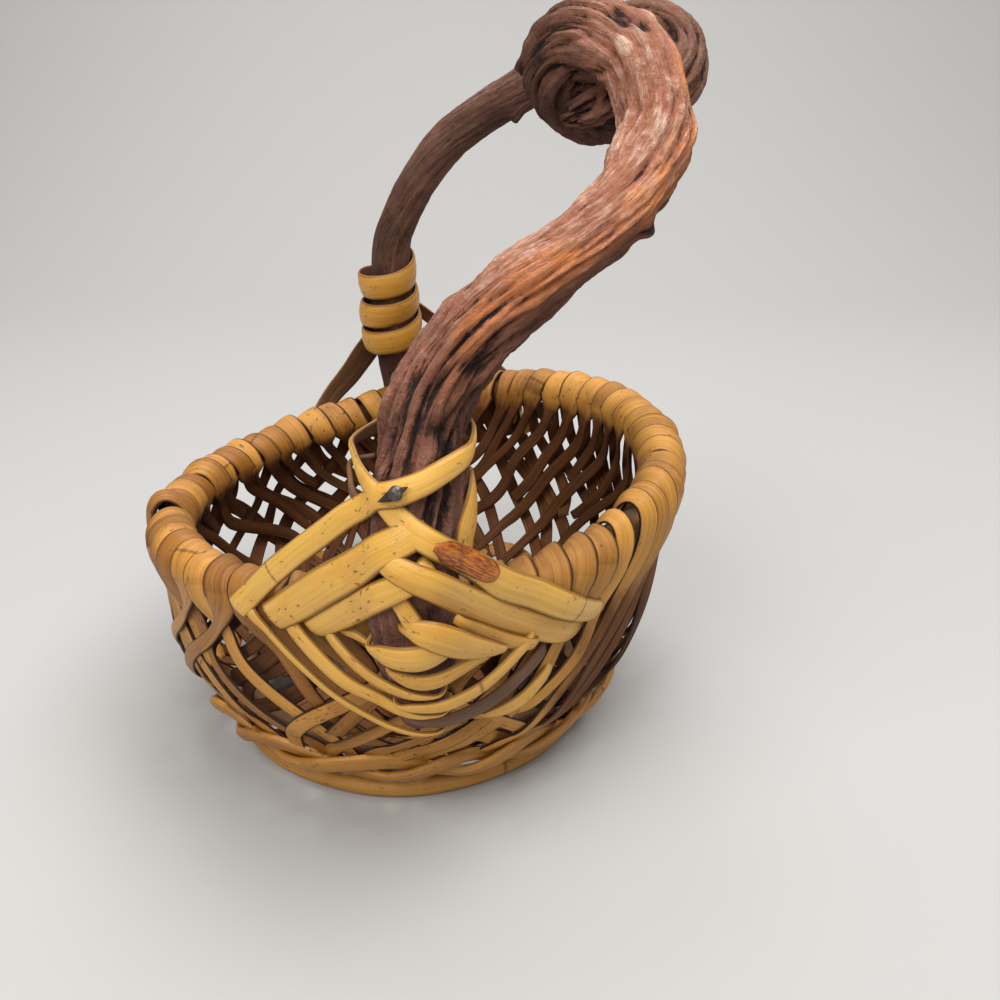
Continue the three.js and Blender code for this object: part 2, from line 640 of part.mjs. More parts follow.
const backZ = backRim.z;
const collarStations = collar(earBack, backZ + COLLAR_RISE);
addPiece("back_lash_collar", strip(collarStations), LASH_CANE);
const backLegs = [
  ["back_lash_left_high", -1, backZ + BACK_LASH_RISE, rad(34), backZ - 8, LASH_BROAD, 1, 14],
  ["back_lash_left_low", -1, backZ + BACK_LASH_RISE - LASH_STEP, rad(24), backZ - 8, LASH_WIDTH, 1.5, 14],
  ["back_lash_right_high", 1, backZ + BACK_LASH_RISE - FACE_DROP, rad(30), backZ - 8, LASH_BROAD, 0, 20],
];
for (const [name, ...sizes] of backLegs) {
  addPiece(name, strip(lashLeg(earBack, ...sizes)), LASH_CANE);
}
const backSlings = [
  [12, -5, 10, -5],
  [20, -9, 17, -9],
  [28, -12, 25, -12],
];
backSlings.forEach(([left, dropLeft, right, dropRight], i) => {
  const z = backZ - BACK_SLING_DROP - i * BACK_SLING_STEP;
  const ease = lerp(SLING_EASE, SLING_SLACK, i / backSlings.length);
  const ends = [rad(left), backZ + dropLeft, rad(right), backZ + dropRight];
  const path = lashSling(earBack, z, ...ends, BASE_LASH_WIDTH, ease);
  addPiece(`back_lash_sling_${i + 1}`, strip(path), LASH_CANE);
});

// Least clear distance between one turn of the collar and the next
let collarGap = Infinity;
for (let i = 0; i < collarStations.length; i++) {
  for (let j = i + 8; j < collarStations.length; j++) {
    const apart = collarStations[i].p.distanceTo(collarStations[j].p) - COLLAR_WIDTH;
    collarGap = Math.min(collarGap, apart);
  }
}
console.log(`collar turns stay ${collarGap.toFixed(2)} mm apart`);

// Stand the basket on Z = 0 with the middle of its outline over the origin
const box = new THREE.Box3().setFromObject(basket);
basket.position.set(-(box.min.x + box.max.x) / 2, -(box.min.y + box.max.y) / 2, -box.min.z);
basket.updateMatrixWorld(true);

export default basket;
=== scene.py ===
"""Round cane basket with a curled vine handle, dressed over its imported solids.

Every piece is made in metres in the part's own frame. Flat and round cane is swept by one Geometry Nodes
tree, and the bark of the handle by another.
"""

import logging
import math
import random
from dataclasses import dataclass, field
from enum import Enum
from typing import Any, Callable, Sequence

import bmesh
import bpy
import numpy as np
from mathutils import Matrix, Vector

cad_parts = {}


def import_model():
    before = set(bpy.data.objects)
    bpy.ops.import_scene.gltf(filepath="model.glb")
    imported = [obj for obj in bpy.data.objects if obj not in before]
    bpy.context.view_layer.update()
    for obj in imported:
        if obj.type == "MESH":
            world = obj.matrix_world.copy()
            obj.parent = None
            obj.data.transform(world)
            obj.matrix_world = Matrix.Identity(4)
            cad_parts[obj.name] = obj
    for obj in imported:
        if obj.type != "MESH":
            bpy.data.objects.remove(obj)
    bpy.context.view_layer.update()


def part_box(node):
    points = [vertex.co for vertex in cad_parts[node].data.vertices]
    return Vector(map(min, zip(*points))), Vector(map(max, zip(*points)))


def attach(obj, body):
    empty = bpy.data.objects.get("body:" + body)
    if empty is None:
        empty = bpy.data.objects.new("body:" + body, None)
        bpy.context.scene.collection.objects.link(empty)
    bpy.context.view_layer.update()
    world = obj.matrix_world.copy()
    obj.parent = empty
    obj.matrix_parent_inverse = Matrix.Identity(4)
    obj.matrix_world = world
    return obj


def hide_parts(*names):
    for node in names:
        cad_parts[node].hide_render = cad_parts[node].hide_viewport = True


log = logging.getLogger("basket")

MM = 0.001
FULL_TURN = 2 * math.pi

Row = tuple[float, ...]
Colour = tuple[float, ...]
Span = tuple[float, float]
Point = tuple[float, float, float]
Place = Callable[[float], tuple[np.ndarray, np.ndarray]]


def paint(red: float, green: float, blue: float) -> Colour:
    """Turns a screen colour of 0 to 255 into the linear colour that a shader takes, by the sRGB curve.

    Args:
        red: Red on screen.
        green: Green on screen.
        blue: Blue on screen.

    Returns:
        The linear colour with full alpha.
    """
    linear = [(c / 255 / 12.92) if c < 10.3 else ((c / 255 + 0.055) / 1.055) ** 2.4 for c in (red, green, blue)]
    return (linear[0], linear[1], linear[2], 1.0)


def unit(v: np.ndarray) -> np.ndarray:
    """Scales the vectors in the last axis to length one."""
    return v / np.maximum(np.linalg.norm(v, axis=-1, keepdims=True), 1e-9)


def lerp(a: Any, b: Any, t: float) -> Any:
    """Goes from a to b as t goes from 0 to 1."""
    return a + (b - a) * t


def ease(x: float, low: float, high: float) -> float:
    """Smooth step of x from 0 at low to 1 at high."""
    t = min(max((x - low) / (high - low), 0.0), 1.0)
    return t * t * (3 - 2 * t)


def outward(angle: float) -> np.ndarray:
    """Direction away from the middle, in plan."""
    return np.array([math.cos(angle), math.sin(angle), 0.0])


def onward(angle: float) -> np.ndarray:
    """Direction round the middle, in plan."""
    return np.array([-math.sin(angle), math.cos(angle), 0.0])


def waves(angle: float, terms: Sequence[Row]) -> float:
    """Adds up waves round a ring, each given by its height, its count and its start."""
    return sum(height * math.sin(count * angle + start) for height, count, start in terms)


def between(at: np.ndarray, stops: Sequence[Row]) -> np.ndarray:
    """Values at some places, between rows of a place and its values."""
    table = np.array(stops, float)
    return np.column_stack([np.interp(at, table[:, 0], column) for column in table[:, 1:].T])


def travelled(spots: np.ndarray) -> np.ndarray:
    """Distance from the start at each of a row of places."""
    return np.concatenate([[0.0], np.cumsum(np.linalg.norm(np.diff(spots, axis=0), axis=1))])


def link(name: str, data: bpy.types.ID) -> bpy.types.Object:
    """Puts a mesh, a light or a camera into the scene.

    Args:
        name: The object's name.
        data: The mesh, light or camera.

    Returns:
        The object.
    """
    made = bpy.data.objects.new(name, data)
    bpy.context.collection.objects.link(made)
    return made


def shade_smooth(mesh: bpy.types.Mesh) -> None:
    """Shades every face of a mesh smooth."""
    mesh.polygons.foreach_set("use_smooth", [True] * len(mesh.polygons))


# ---------------------------------------------------------------- node trees

def math_node(operation: str, swapped: bool = False) -> Callable[..., "Sock"]:
    """Makes a method that adds a Math node to the tree of its socket.

    Args:
        operation: The node's operation.
        swapped: Whether the socket comes second.

    Returns:
        The method.
    """
    def method(sock: "Sock", other: Any = 0.0) -> "Sock":
        """Adds the node."""
        pair = (other, sock) if swapped else (sock, other)
        return sock.sheet.node("ShaderNodeMath", {"operation": operation}, dict(enumerate(pair)))[0]

    return method


class Sock:
    """A socket of a node tree with Python's operators; each of them adds a Math node."""

    __add__ = __radd__ = math_node("ADD")
    __sub__, __rsub__ = math_node("SUBTRACT"), math_node("SUBTRACT", swapped=True)
    __mul__ = __rmul__ = math_node("MULTIPLY")
    __truediv__, __pow__ = math_node("DIVIDE"), math_node("POWER")
    __abs__, fraction, sign = math_node("ABSOLUTE"), math_node("FRACT"), math_node("SIGN")
    least, most = math_node("MINIMUM"), math_node("MAXIMUM")

    def __init__(self, sheet: "Sheet", socket: bpy.types.NodeSocket) -> None:
        """Keeps the tree's sheet and the socket."""
        self.sheet = sheet
        self.socket = socket

    def step(self, low: float, high: float) -> "Sock":
        """Makes a smooth step of the value.

        Args:
            low: Where the step is 0; it may be above high.
            high: Where the step is 1.

        Returns:
            The step, from 0 to 1.
        """
        ends = {"From Min": min(low, high), "From Max": max(low, high)}
        made = self.sheet.node("ShaderNodeMapRange", {"interpolation_type": "SMOOTHSTEP"}, {"Value": self, **ends})[0]
        return made if low < high else 1 - made


class Made:
    """A node that a sheet has made; its outputs are picked by name or place."""

    def __init__(self, sheet: "Sheet", node: bpy.types.Node) -> None:
        """Keeps the sheet and the node."""
        self.sheet = sheet
        self.node = node

    def __getitem__(self, key: str | int) -> Sock:
        """Output socket by name or place."""
        return Sock(self.sheet, self.node.outputs[key])


class Sheet:
    """A node tree of either kind, with one method that adds any node."""

    def __init__(self, tree: bpy.types.NodeTree) -> None:
        """Keeps the tree."""
        self.tree = tree

    def node(self, kind: str, settings: dict[str, Any] | None = None,
             inputs: dict[str | int, Any] | None = None) -> Made:
        """Adds one node.

        Args:
            kind: The node's type name.
            settings: Properties that are set first.
            inputs: Values or sockets by the input's name or place.

        Returns:
            The node.
        """
        node = self.tree.nodes.new(kind)
        for name, value in (settings or {}).items():
            setattr(node, name, value)
        for key, value in (inputs or {}).items():
            if isinstance(value, Sock):
                self.tree.links.new(value.socket, node.inputs[key])
            else:
                node.inputs[key].default_value = value
        return Made(self, node)

    def vector(self, operation: str, first: Any, second: Any = (0.0, 0.0, 0.0)) -> Sock:
        """Adds a Vector Math node.

        Args:
            operation: The node's operation; SCALE takes a number as the second.
            first: Vector or socket.
            second: Vector, number or socket.

        Returns:
            The vector that comes out, or the number of a DOT_PRODUCT.
        """
        place = "Scale" if operation == "SCALE" else 1
        made = self.node("ShaderNodeVectorMath", {"operation": operation}, {0: first, place: second})
        return made["Value" if operation == "DOT_PRODUCT" else "Vector"]

    def mix(self, factor: Any, first: Any, second: Any) -> Sock:
        """Blends two colours."""
        return self.node("ShaderNodeMix", {"data_type": "RGBA"}, {0: factor, 6: first, 7: second})[2]

    def noise(self, place: Sock, scale: float, detail: float = 2.0, rough: float = 0.5) -> Sock:
        """Noise from 0 to 1 at a place."""
        return self.node("ShaderNodeTexNoise", None,
                         {"Vector": place, "Scale": scale, "Detail": detail, "Roughness": rough})[0]

    def grain(self, x: Any, y: Any, z: Any, detail: float = 2.0, rough: float = 0.5) -> Sock:
        """Noise from 0 to 1 at a place that three values give."""
        return self.noise(self.node("ShaderNodeCombineXYZ", None, {0: x, 1: y, 2: z})[0], 1.0, detail, rough)

    def bump(self, height: Sock, strength: float, depth: float) -> Sock:
        """Tilts the surface by a height."""
        return self.node("ShaderNodeBump", None, {"Strength": strength, "Distance": depth, "Height": height})["Normal"]


# ---------------------------------------------------------------- finishes

class Slot(Enum):
    """The record's material slots."""

    WALL = "wall_cane"
    HOOP = "hoop_cane"
    LASH = "lashing_cane"
    BARK = "vine_bark"
    IRON = "nail_iron"


class Finish:
    """A finish that can be made into a material; each kind has its own surface."""

    name: str

    def material(self) -> bpy.types.Material:
        """Makes the material.

        Returns:
            The finished material.
        """
        made = bpy.data.materials.new(self.name)
        made.use_nodes = True
        made.node_tree.nodes.clear()
        sheet = Sheet(made.node_tree)
        place = sheet.node("ShaderNodeTexCoord")["Object"]
        shader = sheet.node("ShaderNodeBsdfPrincipled", None, self.surface(sheet, place))
        sheet.node("ShaderNodeOutputMaterial", None, {"Surface": shader[0]})
        return made

    def surface(self, sheet: Sheet, place: Sock) -> dict[str, Any]:
        """Gives the shader's inputs.

        Args:
            sheet: The material's tree.
            place: The place on the piece.

        Returns:
            Values or sockets by the input's name.
        """
        raise NotImplementedError

    @staticmethod
    def carried(sheet: Sheet, *names: str) -> list[Sock]:
        """Reads the values that a piece carries."""
        return [sheet.node("ShaderNodeAttribute", {"attribute_name": name})["Fac"] for name in names]


@dataclass(frozen=True)
class CaneFinish(Finish):
    """Split cane: a smooth skin with long grain, edges darkened as painted shade between the strips, specks and joint
    rings, dull where it is the pith.

    The pieces carry what it reads: along in metres, across from -1 to 1, tone from 0 to 1 and dull from 0 to 1.5;
    dull above 1 is painted shade that darkens the pith. A tone above 1 is cane with its bark left on, and one above 2
    is a dark slit. Numbers that tone is multiplied with only give each strip a lot of its own.
    """

    name: str
    pale: Colour
    # Dark colour of the painted shade at the strips' edges, and on the pith where dull is above 1.
    deep: Colour
    edge: Colour
    speck: Colour
    dull_pale: Colour
    dull_deep: Colour
    gloss: float = 0.42
    ring_pitch: float = 0.13
    edge_shade: float = 0.7
    streak: float = 0.0
    shine: float = 0.45
    bark_pale: Colour = paint(226, 132, 38)
    bark_deep: Colour = paint(122, 58, 16)
    slit: Colour = paint(46, 28, 18)
    ring_edges: Span = (2.1 * MM, 1.2 * MM)
    ring_waver: float = 2.2 * MM
    blotches: Row = (55.0, 3.0, 0.6)
    bump_strength: float = 0.42
    bump_depth: float = 0.7 * MM
    # Changes along, across and from strip to strip, detail and roughness of each texture of the cane.
    textures: tuple[Row, ...] = (
        (26, 4.2, 91, 4.0, 0.62),  # grain
        (40, 16, 57, 2.0, 0.6),  # fibre
        (420, 3.4, 33, 1.0, 0.5),  # fleck
        (330, 7, 19, 3.0, 0.65),  # scale of bark
        (700, 1.3, 71, 1.0, 0.5))  # crack

    def surface(self, sheet: Sheet, place: Sock) -> dict[str, Any]:
        """Lays the skin over the pith, then the edges' painted shade, the bark and the slit over both.

        Args:
            sheet: The material's tree.
            place: The place on the piece.

        Returns:
            Values or sockets by the input's name.
        """
        along, across, tone, dull = self.carried(sheet, "along", "across", "tone", "dull")
        grain, fibre, fleck, scale, crack = (
            sheet.grain(along * run, across * wide, tone * strip, detail, rough)
            for run, wide, strip, detail, rough in self.textures)
        blotch = sheet.noise(place, *self.blotches)
        specks = fleck.step(0.64, 0.74) * blotch.step(0.4, 0.6)
        ring = abs((along / self.ring_pitch + tone * 7.3).fraction() - 0.5) * self.ring_pitch
        ring = (ring + grain * self.ring_waver).step(*self.ring_edges) * (tone * 13.7).fraction().step(0.55, 0.6)
        skin = sheet.mix((grain * 0.75 + tone * 0.5 - 0.1).step(0.12, 0.92), self.deep, self.pale)
        skin = sheet.mix(fibre.step(0.55, 0.8) * 0.35, skin, self.deep)
        skin = sheet.mix(blotch.step(0.5, 0.72) * 0.4, skin, self.deep)
        skin = sheet.mix((specks + ring * 0.8).least(1.0) * 0.75, skin, self.speck)
        pith = sheet.mix((grain * 0.8 + fibre * 0.35 - 0.08).step(0.25, 0.85), self.dull_deep, self.dull_pale)
        pith = sheet.mix(blotch.step(0.45, 0.75) * 0.5, pith, self.dull_deep)
        # Painted shade: where dull is above 1 the pith darkens towards the edge colour.
        pith = sheet.mix(dull.step(1.05, 1.5) * 0.6, pith, self.edge)
        # The pith shows where the strip is dull; where that dullness is painted shade, this pith colour is painted
        # shade too.
        worn = (dull + (blotch - 0.5) * 0.5 * dull.step(0.02, 0.2)).step(0.12, 0.82)
        lean = across * ((tone * 29).fraction() - 0.5).sign() + (grain - 0.5) * 0.8
        worn = worn.most(lean.step(-0.15, 0.7) * (tone * 17).fraction().step(0.4, 0.8) * self.streak)
        # Painted shade: both edges of the strip darken, for the shadow in the gaps between strips.
        rim = (abs(across) + grain * 0.16).step(0.84, 1.02) * self.edge_shade
        colour = sheet.mix(rim * (1 - worn * 0.4), sheet.mix(worn, skin, pith), self.edge)
        flaked = (scale + (fibre - 0.5) * 0.5 - abs(across) * 0.12).step(0.3, 0.68)
        cover = sheet.mix(tone.step(2.0, 2.1), sheet.mix(flaked, self.bark_deep, self.bark_pale), self.slit)
        cracked = crack.step(0.62, 0.8) * 0.35 * blotch.step(0.4, 0.6)
        height = fibre * (0.6 + worn * 0.9) + grain * 0.7 - cracked + ring * 0.9
        return {"Base Color": sheet.mix(tone.step(1.05, 1.3), colour, cover),
                "Roughness": (self.gloss + worn * 0.28 + (fibre - 0.5) * 0.16 + specks * 0.15).least(0.95),
                "Normal": sheet.bump(height, self.bump_strength, self.bump_depth), "Specular IOR Level": self.shine}


@dataclass(frozen=True)
class BarkFinish(Finish):
    """Old vine bark: dark in the grooves, reddish on the ridges with a painted highlight and pale flecks, rust where it
    is rubbed, grey where it is smooth.

    The stem carries what it reads: along in metres, turn_x and turn_y round it, relief from 0 in a groove to 1 on a
    ridge, and rust, grey and dark from 0 to 1; dark is partly darker bark and partly painted shade on the stem's under
    side and inside its curl.
    """

    name: str
    groove: Colour = paint(40, 20, 15)
    bark: Colour = paint(180, 114, 86)
    # Painted highlight on the ridges.
    ridge: Colour = paint(250, 212, 188)
    rust: Colour = paint(222, 132, 62)
    grey: Colour = paint(128, 100, 86)
    # Pale flecks on the ridges, a painted highlight.
    fleck: Colour = paint(232, 204, 184)
    shine: float = 0.4
    bump_strength: float = 0.9
    bump_depth: float = 2 * MM
    # Changes round and along the stem, detail and roughness of the long textures.
    threads: tuple[Row, ...] = (
        (10, 120, 4.0, 0.65),  # strand
        (34, 210, 3.0, 0.6))  # thread
    # Scale, detail and roughness of the even textures.
    patches: tuple[Row, ...] = (
        (60.0, 4.0, 0.6),  # patch
        (330.0, 3.0, 0.65),  # flake
        (1100.0, 2.0, 0.6))  # grit

    def surface(self, sheet: Sheet, place: Sock) -> dict[str, Any]:
        """Colours the bark by its height, lays a painted highlight on the ridges, then greys, rusts, flecks and darkens
        it; the flecks are painted highlight and the darkening is partly painted shade.

        Args:
            sheet: The material's tree.
            place: The place on the piece.

        Returns:
            Values or sockets by the input's name.
        """
        along, relief, rust, grey, dark, x, y = self.carried(
            sheet, "along", "relief", "rust", "grey", "dark", "turn_x", "turn_y")
        strand, thread = (sheet.grain(x * turn, y * turn, along * run, detail, rough)
                          for turn, run, detail, rough in self.threads)
        patch, flake, grit = (sheet.noise(place, *sizes) for sizes in self.patches)
        high = relief * 0.8 + (strand - 0.5) * 0.75 + (thread - 0.5) * 0.4 + (flake - 0.5) * 0.55
        # Painted highlight on the ridges, held off where the stem is dark.
        ridge_highlight = high.step(0.4, 0.85) * (0.45 + patch * 0.6) * (1 - dark * 0.8)
        greyed = (grey * (0.4 + patch * 0.8)).least(1.0) * high.step(0.15, 0.5) * 0.8
        rusted = (rust * (0.3 + strand * 0.6 + (patch - 0.5) * 1.4)).step(0.25, 0.8) * high.step(0.1, 0.5) * 0.8
        # Pale flecks as painted highlight on the ridges.
        fleck_highlight = (grit * 0.6 + flake * 0.5).step(0.62, 0.74) * high.step(0.45, 0.8) * (1 - dark) * 0.8
        # Darker bark along parts of the stem, plus painted shade on its under side and inside the curl.
        shaded = (dark * (0.7 + (patch - 0.5) * 0.9)).least(0.85)
        colour = sheet.mix(high.step(0.08, 0.42), self.groove, self.bark)
        for share, coat in ((ridge_highlight, self.ridge), (greyed, self.grey), (rusted, self.rust), (fleck_highlight, self.fleck),
                            (shaded, self.groove)):
            colour = sheet.mix(share, colour, coat)
        height = strand * 1.0 + thread * 0.7 + flake * 0.8 + grit * 0.2
        return {"Base Color": colour, "Roughness": 0.82 - high.step(0.5, 1.0) * 0.3,
                "Normal": sheet.bump(height, self.bump_strength, self.bump_depth), "Specular IOR Level": self.shine}


@dataclass(frozen=True)
class IronFinish(Finish):
    """Dull worn iron with a touch of rust."""

    name: str
    bare: Colour = paint(104, 102, 98)
    rust: Colour = paint(66, 54, 46)
    stains: Row = (900.0, 3.0, 0.6)
    bump_strength: float = 0.3
    bump_depth: float = 0.2 * MM

    def surface(self, sheet: Sheet, place: Sock) -> dict[str, Any]:
        """Stains the bare iron.

        Args:
            sheet: The material's tree.
            place: The place on the piece.

        Returns:
            Values or sockets by the input's name.
        """
        patch = sheet.noise(place, *self.stains)
        stain = patch.step(0.45, 0.7)
        return {"Base Color": sheet.mix(stain, self.bare, self.rust), "Metallic": 1 - stain * 0.6,
                "Roughness": 0.42 + stain * 0.3, "Normal": sheet.bump(patch, self.bump_strength, self.bump_depth)}


# ---------------------------------------------------------------- paths and sweeps

@dataclass
class Ribbon:
    """One length of cane as a dense row of points.

    The columns of points are place (3), face direction (3), width and dull.
    """

    PITCH = 1.3 * MM
    NARROW = 2.6
    # Rows that fold an end in: steps onwards and inwards in millimetres, how far the face is kept and turned onwards,
    # and share of the width.
    NARROW_END = ((3.0, 6.0, 1.0, 0.8, 0.7),)
    WIDE_END = ((1.2, 1.6, 0.4, 1.0, 1.0), (0.8, 8.0, 0.05, 1.0, 0.8))

    points: np.ndarray
    thick: float = 1.3 * MM
    tone: float = 0.5
    closed: bool = False

    @classmethod
    def through(cls, rows: Sequence[Row], dull: float, thick: float, tone: float, lift: float = 0.0) -> "Ribbon":
        """Lays a strip through control points in millimetres.

        Args:
            rows: Place, face direction and width of each control point.
            dull: How dull the strip is.
            thick: Thickness of the strip.
            tone: Which strip of cane it is cut from.
            lift: How far the strip is moved out along its face.

        Returns:
            The strip.
        """
        knots = np.array(rows, float)
        knots[:, :3] *= MM
        knots[:, 6] *= MM
        knots[:, 3:6] = unit(knots[:, 3:6])
        knots[:, :3] += knots[:, 3:6] * lift
        return cls(curve_through(np.column_stack([knots, np.full(len(knots), dull)]), cls.PITCH), thick, tone)

    @classmethod
    def tucked(cls, rows: Sequence[Row]) -> list[Row]:
        """Folds both ends of a strip inwards, as they go into the weave.

        Args:
            rows: Place, face direction and width of each control point, in millimetres.

        Returns:
            The rows with one or two more at each end.
        """
        ends = []
        for end, before in ((rows[0], rows[1]), (rows[-1], rows[-2])):
            spot, face, width = np.array(end[:3]), unit(np.array(end[3:6], float)), end[6]
            way = unit(spot - np.array(before[:3]))
            way = unit(way - face * float(way @ face))
            ends.append([(*(spot + way * on - face * into), *unit(face * keep + way * turn), width * share)
                         for on, into, keep, turn, share in (cls.NARROW_END if width < cls.NARROW else cls.WIDE_END)])
        return [*ends[0][::-1], *rows, *ends[1]]

    def along(self) -> np.ndarray:
        """Distance from the start at each point."""
        return travelled(self.points[:, :3])


def curve_through(knots: np.ndarray, pitch: float) -> np.ndarray:
    """Fits a smooth curve through rows of numbers whose first three are a place.

    Args:
        knots: One row for each control point.
        pitch: Distance between the points that come out.

    Returns:
        The dense rows.
    """
    gaps = np.maximum(np.sqrt(np.linalg.norm(np.diff(knots[:, :3], axis=0), axis=1)), 1e-4)
    slopes = np.diff(knots, axis=0) / gaps[:, None]
    tangents = np.empty_like(knots)
    tangents[0], tangents[-1] = slopes[0], slopes[-1]
    tangents[1:-1] = (slopes[:-1] * gaps[1:, None] + slopes[1:] * gaps[:-1, None]) / (gaps[1:] + gaps[:-1])[:, None]
    rows = []
    for i, gap in enumerate(gaps):
        steps = max(2, int(round(np.linalg.norm(knots[i + 1, :3] - knots[i, :3]) / pitch)))
        for t in np.arange(steps) / steps:
            t2, t3 = t * t, t * t * t
            rows.append((2 * t3 - 3 * t2 + 1) * knots[i] + (t3 - 2 * t2 + t) * gap * tangents[i]
                        + (3 * t2 - 2 * t3) * knots[i + 1] + (t3 - t2) * gap * tangents[i + 1])
    rows.append(knots[-1])
    return np.array(rows)


def store(mesh: bpy.types.Mesh, name: str, values: np.ndarray) -> None:
    """Writes one attribute on a mesh's points.

    Args:
        mesh: The mesh.
        name: The attribute's name.
        values: One number or vector for each point.
    """
    kind, field_name = ("FLOAT", "value") if values.ndim == 1 else ("FLOAT_VECTOR", "vector")
    layer = mesh.attributes.new(name, kind, "POINT")
    layer.data.foreach_set(field_name, np.asarray(values, np.float32).ravel())


def face_outwards(mesh: bpy.types.Mesh) -> None:
    """Turns a closed mesh the right way round if its faces point inwards.

    Args:
        mesh: The mesh.
    """
    work = bmesh.new()
    work.from_mesh(mesh)
    if work.calc_volume(signed=True) < 0:
        bmesh.ops.reverse_faces(work, faces=work.faces[:])
        work.to_mesh(mesh)
    work.free()


class SweepTree:
    """A Geometry Nodes tree that sweeps a section along rows of points."""

    KEEP: tuple[str, ...] = ()
    FLOATS: dict[str, float] = {}
    BUILT_IN = ("sharp_face", "material_index")

    def __init__(self, name: str) -> None:
        """Builds the tree with its named inputs.

        Args:
            name: The tree's name.
        """
        self.tree = bpy.data.node_groups.new(name, "GeometryNodeTree")
        face = self.tree.interface
        face.new_socket("Path", in_out="INPUT", socket_type="NodeSocketGeometry")
        self.keys: dict[str, str] = {}
        for label, kind in [("Sides", "NodeSocketInt"), ("Seed", "NodeSocketFloat"), ("Finish", "NodeSocketMaterial"),
                            *[(key, "NodeSocketFloat") for key in self.FLOATS]]:
            self.keys[label] = face.new_socket(label, in_out="INPUT", socket_type=kind).identifier
        face.new_socket("Piece", in_out="OUTPUT", socket_type="NodeSocketGeometry")
        self.sheet = Sheet(self.tree)
        self.given = self.sheet.node("NodeGroupInput")
        swept = self.shape(self.sweep())
        smooth = self.sheet.node("GeometryNodeSetShadeSmooth", None, {"Geometry": swept})[0]
        real = self.sheet.node("GeometryNodeRealizeInstances", None, {"Geometry": smooth})[0]
        done = self.sheet.node("GeometryNodeSetMaterial", None, {"Geometry": real, "Material": self.given["Finish"]})[0]
        self.sheet.node("NodeGroupOutput", None, {0: done})

    def named(self, name: str, kind: str = "FLOAT") -> Sock:
        """Reads an attribute of the path or the section."""
        return self.sheet.node("GeometryNodeInputNamedAttribute", {"data_type": kind}, {"Name": name})[0]

    def keep(self, geometry: Sock, name: str, value: Sock, kind: str = "FLOAT") -> Sock:
        """Stores a value on the points."""
        return self.sheet.node("GeometryNodeStoreNamedAttribute", {"data_type": kind, "domain": "POINT"},
                               {"Geometry": geometry, "Name": name, "Value": value})[0]

    def sweep(self) -> Sock:
        """Sweeps a circle along the path; its own places stay on it as turn_x and turn_y.

        Returns:
            The swept mesh.
        """
        sheet = self.sheet
        path = sheet.node("GeometryNodeMeshToCurve", None, {"Mesh": self.given["Path"]})[0]
        path = self.keep(path, "centre", sheet.node("GeometryNodeInputPosition")[0], "FLOAT_VECTOR")
        path = self.keep(path, "lay", sheet.node("GeometryNodeInputTangent")[0], "FLOAT_VECTOR")
        ring = sheet.node("GeometryNodeCurvePrimitiveCircle", None,
                          {"Resolution": self.given["Sides"], "Radius": 1.0})[0]
        spot = sheet.node("ShaderNodeSeparateXYZ", None, {0: sheet.node("GeometryNodeInputPosition")[0]})
        ring = self.keep(self.keep(ring, "turn_x", spot[0]), "turn_y", spot[1])
        return sheet.node("GeometryNodeCurveToMesh", None, {"Curve": path, "Profile Curve": ring, "Fill Caps": True})[0]

    def spread(self, mesh: Sock, reach: Sock, rise: Sock) -> tuple[Sock, Sock]:
        """Moves the points of the section away from the path's middle.

        Args:
            mesh: The swept mesh.
            reach: Distance across the path's face.
            rise: Distance out of the path's face.

        Returns:
            The moved mesh, and each point's way from the middle.
        """
        vector = self.sheet.vector
        lay = self.named("lay", "FLOAT_VECTOR")
        side = vector("NORMALIZE", vector("CROSS_PRODUCT", lay, self.named("face", "FLOAT_VECTOR")))
        face = vector("NORMALIZE", vector("CROSS_PRODUCT", side, lay))
        moved = vector("ADD", vector("SCALE", side, reach), vector("SCALE", face, rise))
        spot = vector("ADD", self.named("centre", "FLOAT_VECTOR"), moved)
        return self.sheet.node("GeometryNodeSetPosition", None, {"Geometry": mesh, "Position": spot})[0], moved

    def shape(self, mesh: Sock) -> Sock:
        """Gives the swept mesh its section; each kind of tree has its own.

        Args:
            mesh: The swept mesh.

        Returns:
            The mesh in its shape, with its attributes.
        """
        raise NotImplementedError

    @staticmethod
    def path(name: str, ribbons: Sequence[Ribbon], extra: dict[str, np.ndarray]) -> bpy.types.Mesh:
        """Lays out the ribbons' points as one mesh of edges that carries their values.

        Args:
            name: The mesh's name.
            ribbons: The rows of points.
            extra: More values by point, by attribute name.

        Returns:
            The mesh.
        """
        points = np.vstack([ribbon.points for ribbon in ribbons])
        edges: list[tuple[int, int]] = []
        start = 0
        for ribbon in ribbons:
            count = len(ribbon.points)
            edges += [(start + k, start + k + 1) for k in range(count - 1)]
            if ribbon.closed:
                edges.append((start + count - 1, start))
            start += count
        mesh = bpy.data.meshes.new(name)
        mesh.from_pydata(points[:, :3].tolist(), edges, [])
        layers = {"face": unit(points[:, 3:6]), "width": points[:, 6], "dull": points[:, 7],
                  "along": np.concatenate([ribbon.along() for ribbon in ribbons]),
                  "thick": np.concatenate([np.full(len(ribbon.points), ribbon.thick) for ribbon in ribbons]),
                  "tone": np.concatenate([np.full(len(ribbon.points), ribbon.tone) for ribbon in ribbons])}
        for key, values in {**layers, **extra}.items():
            store(mesh, key, values)
        return mesh

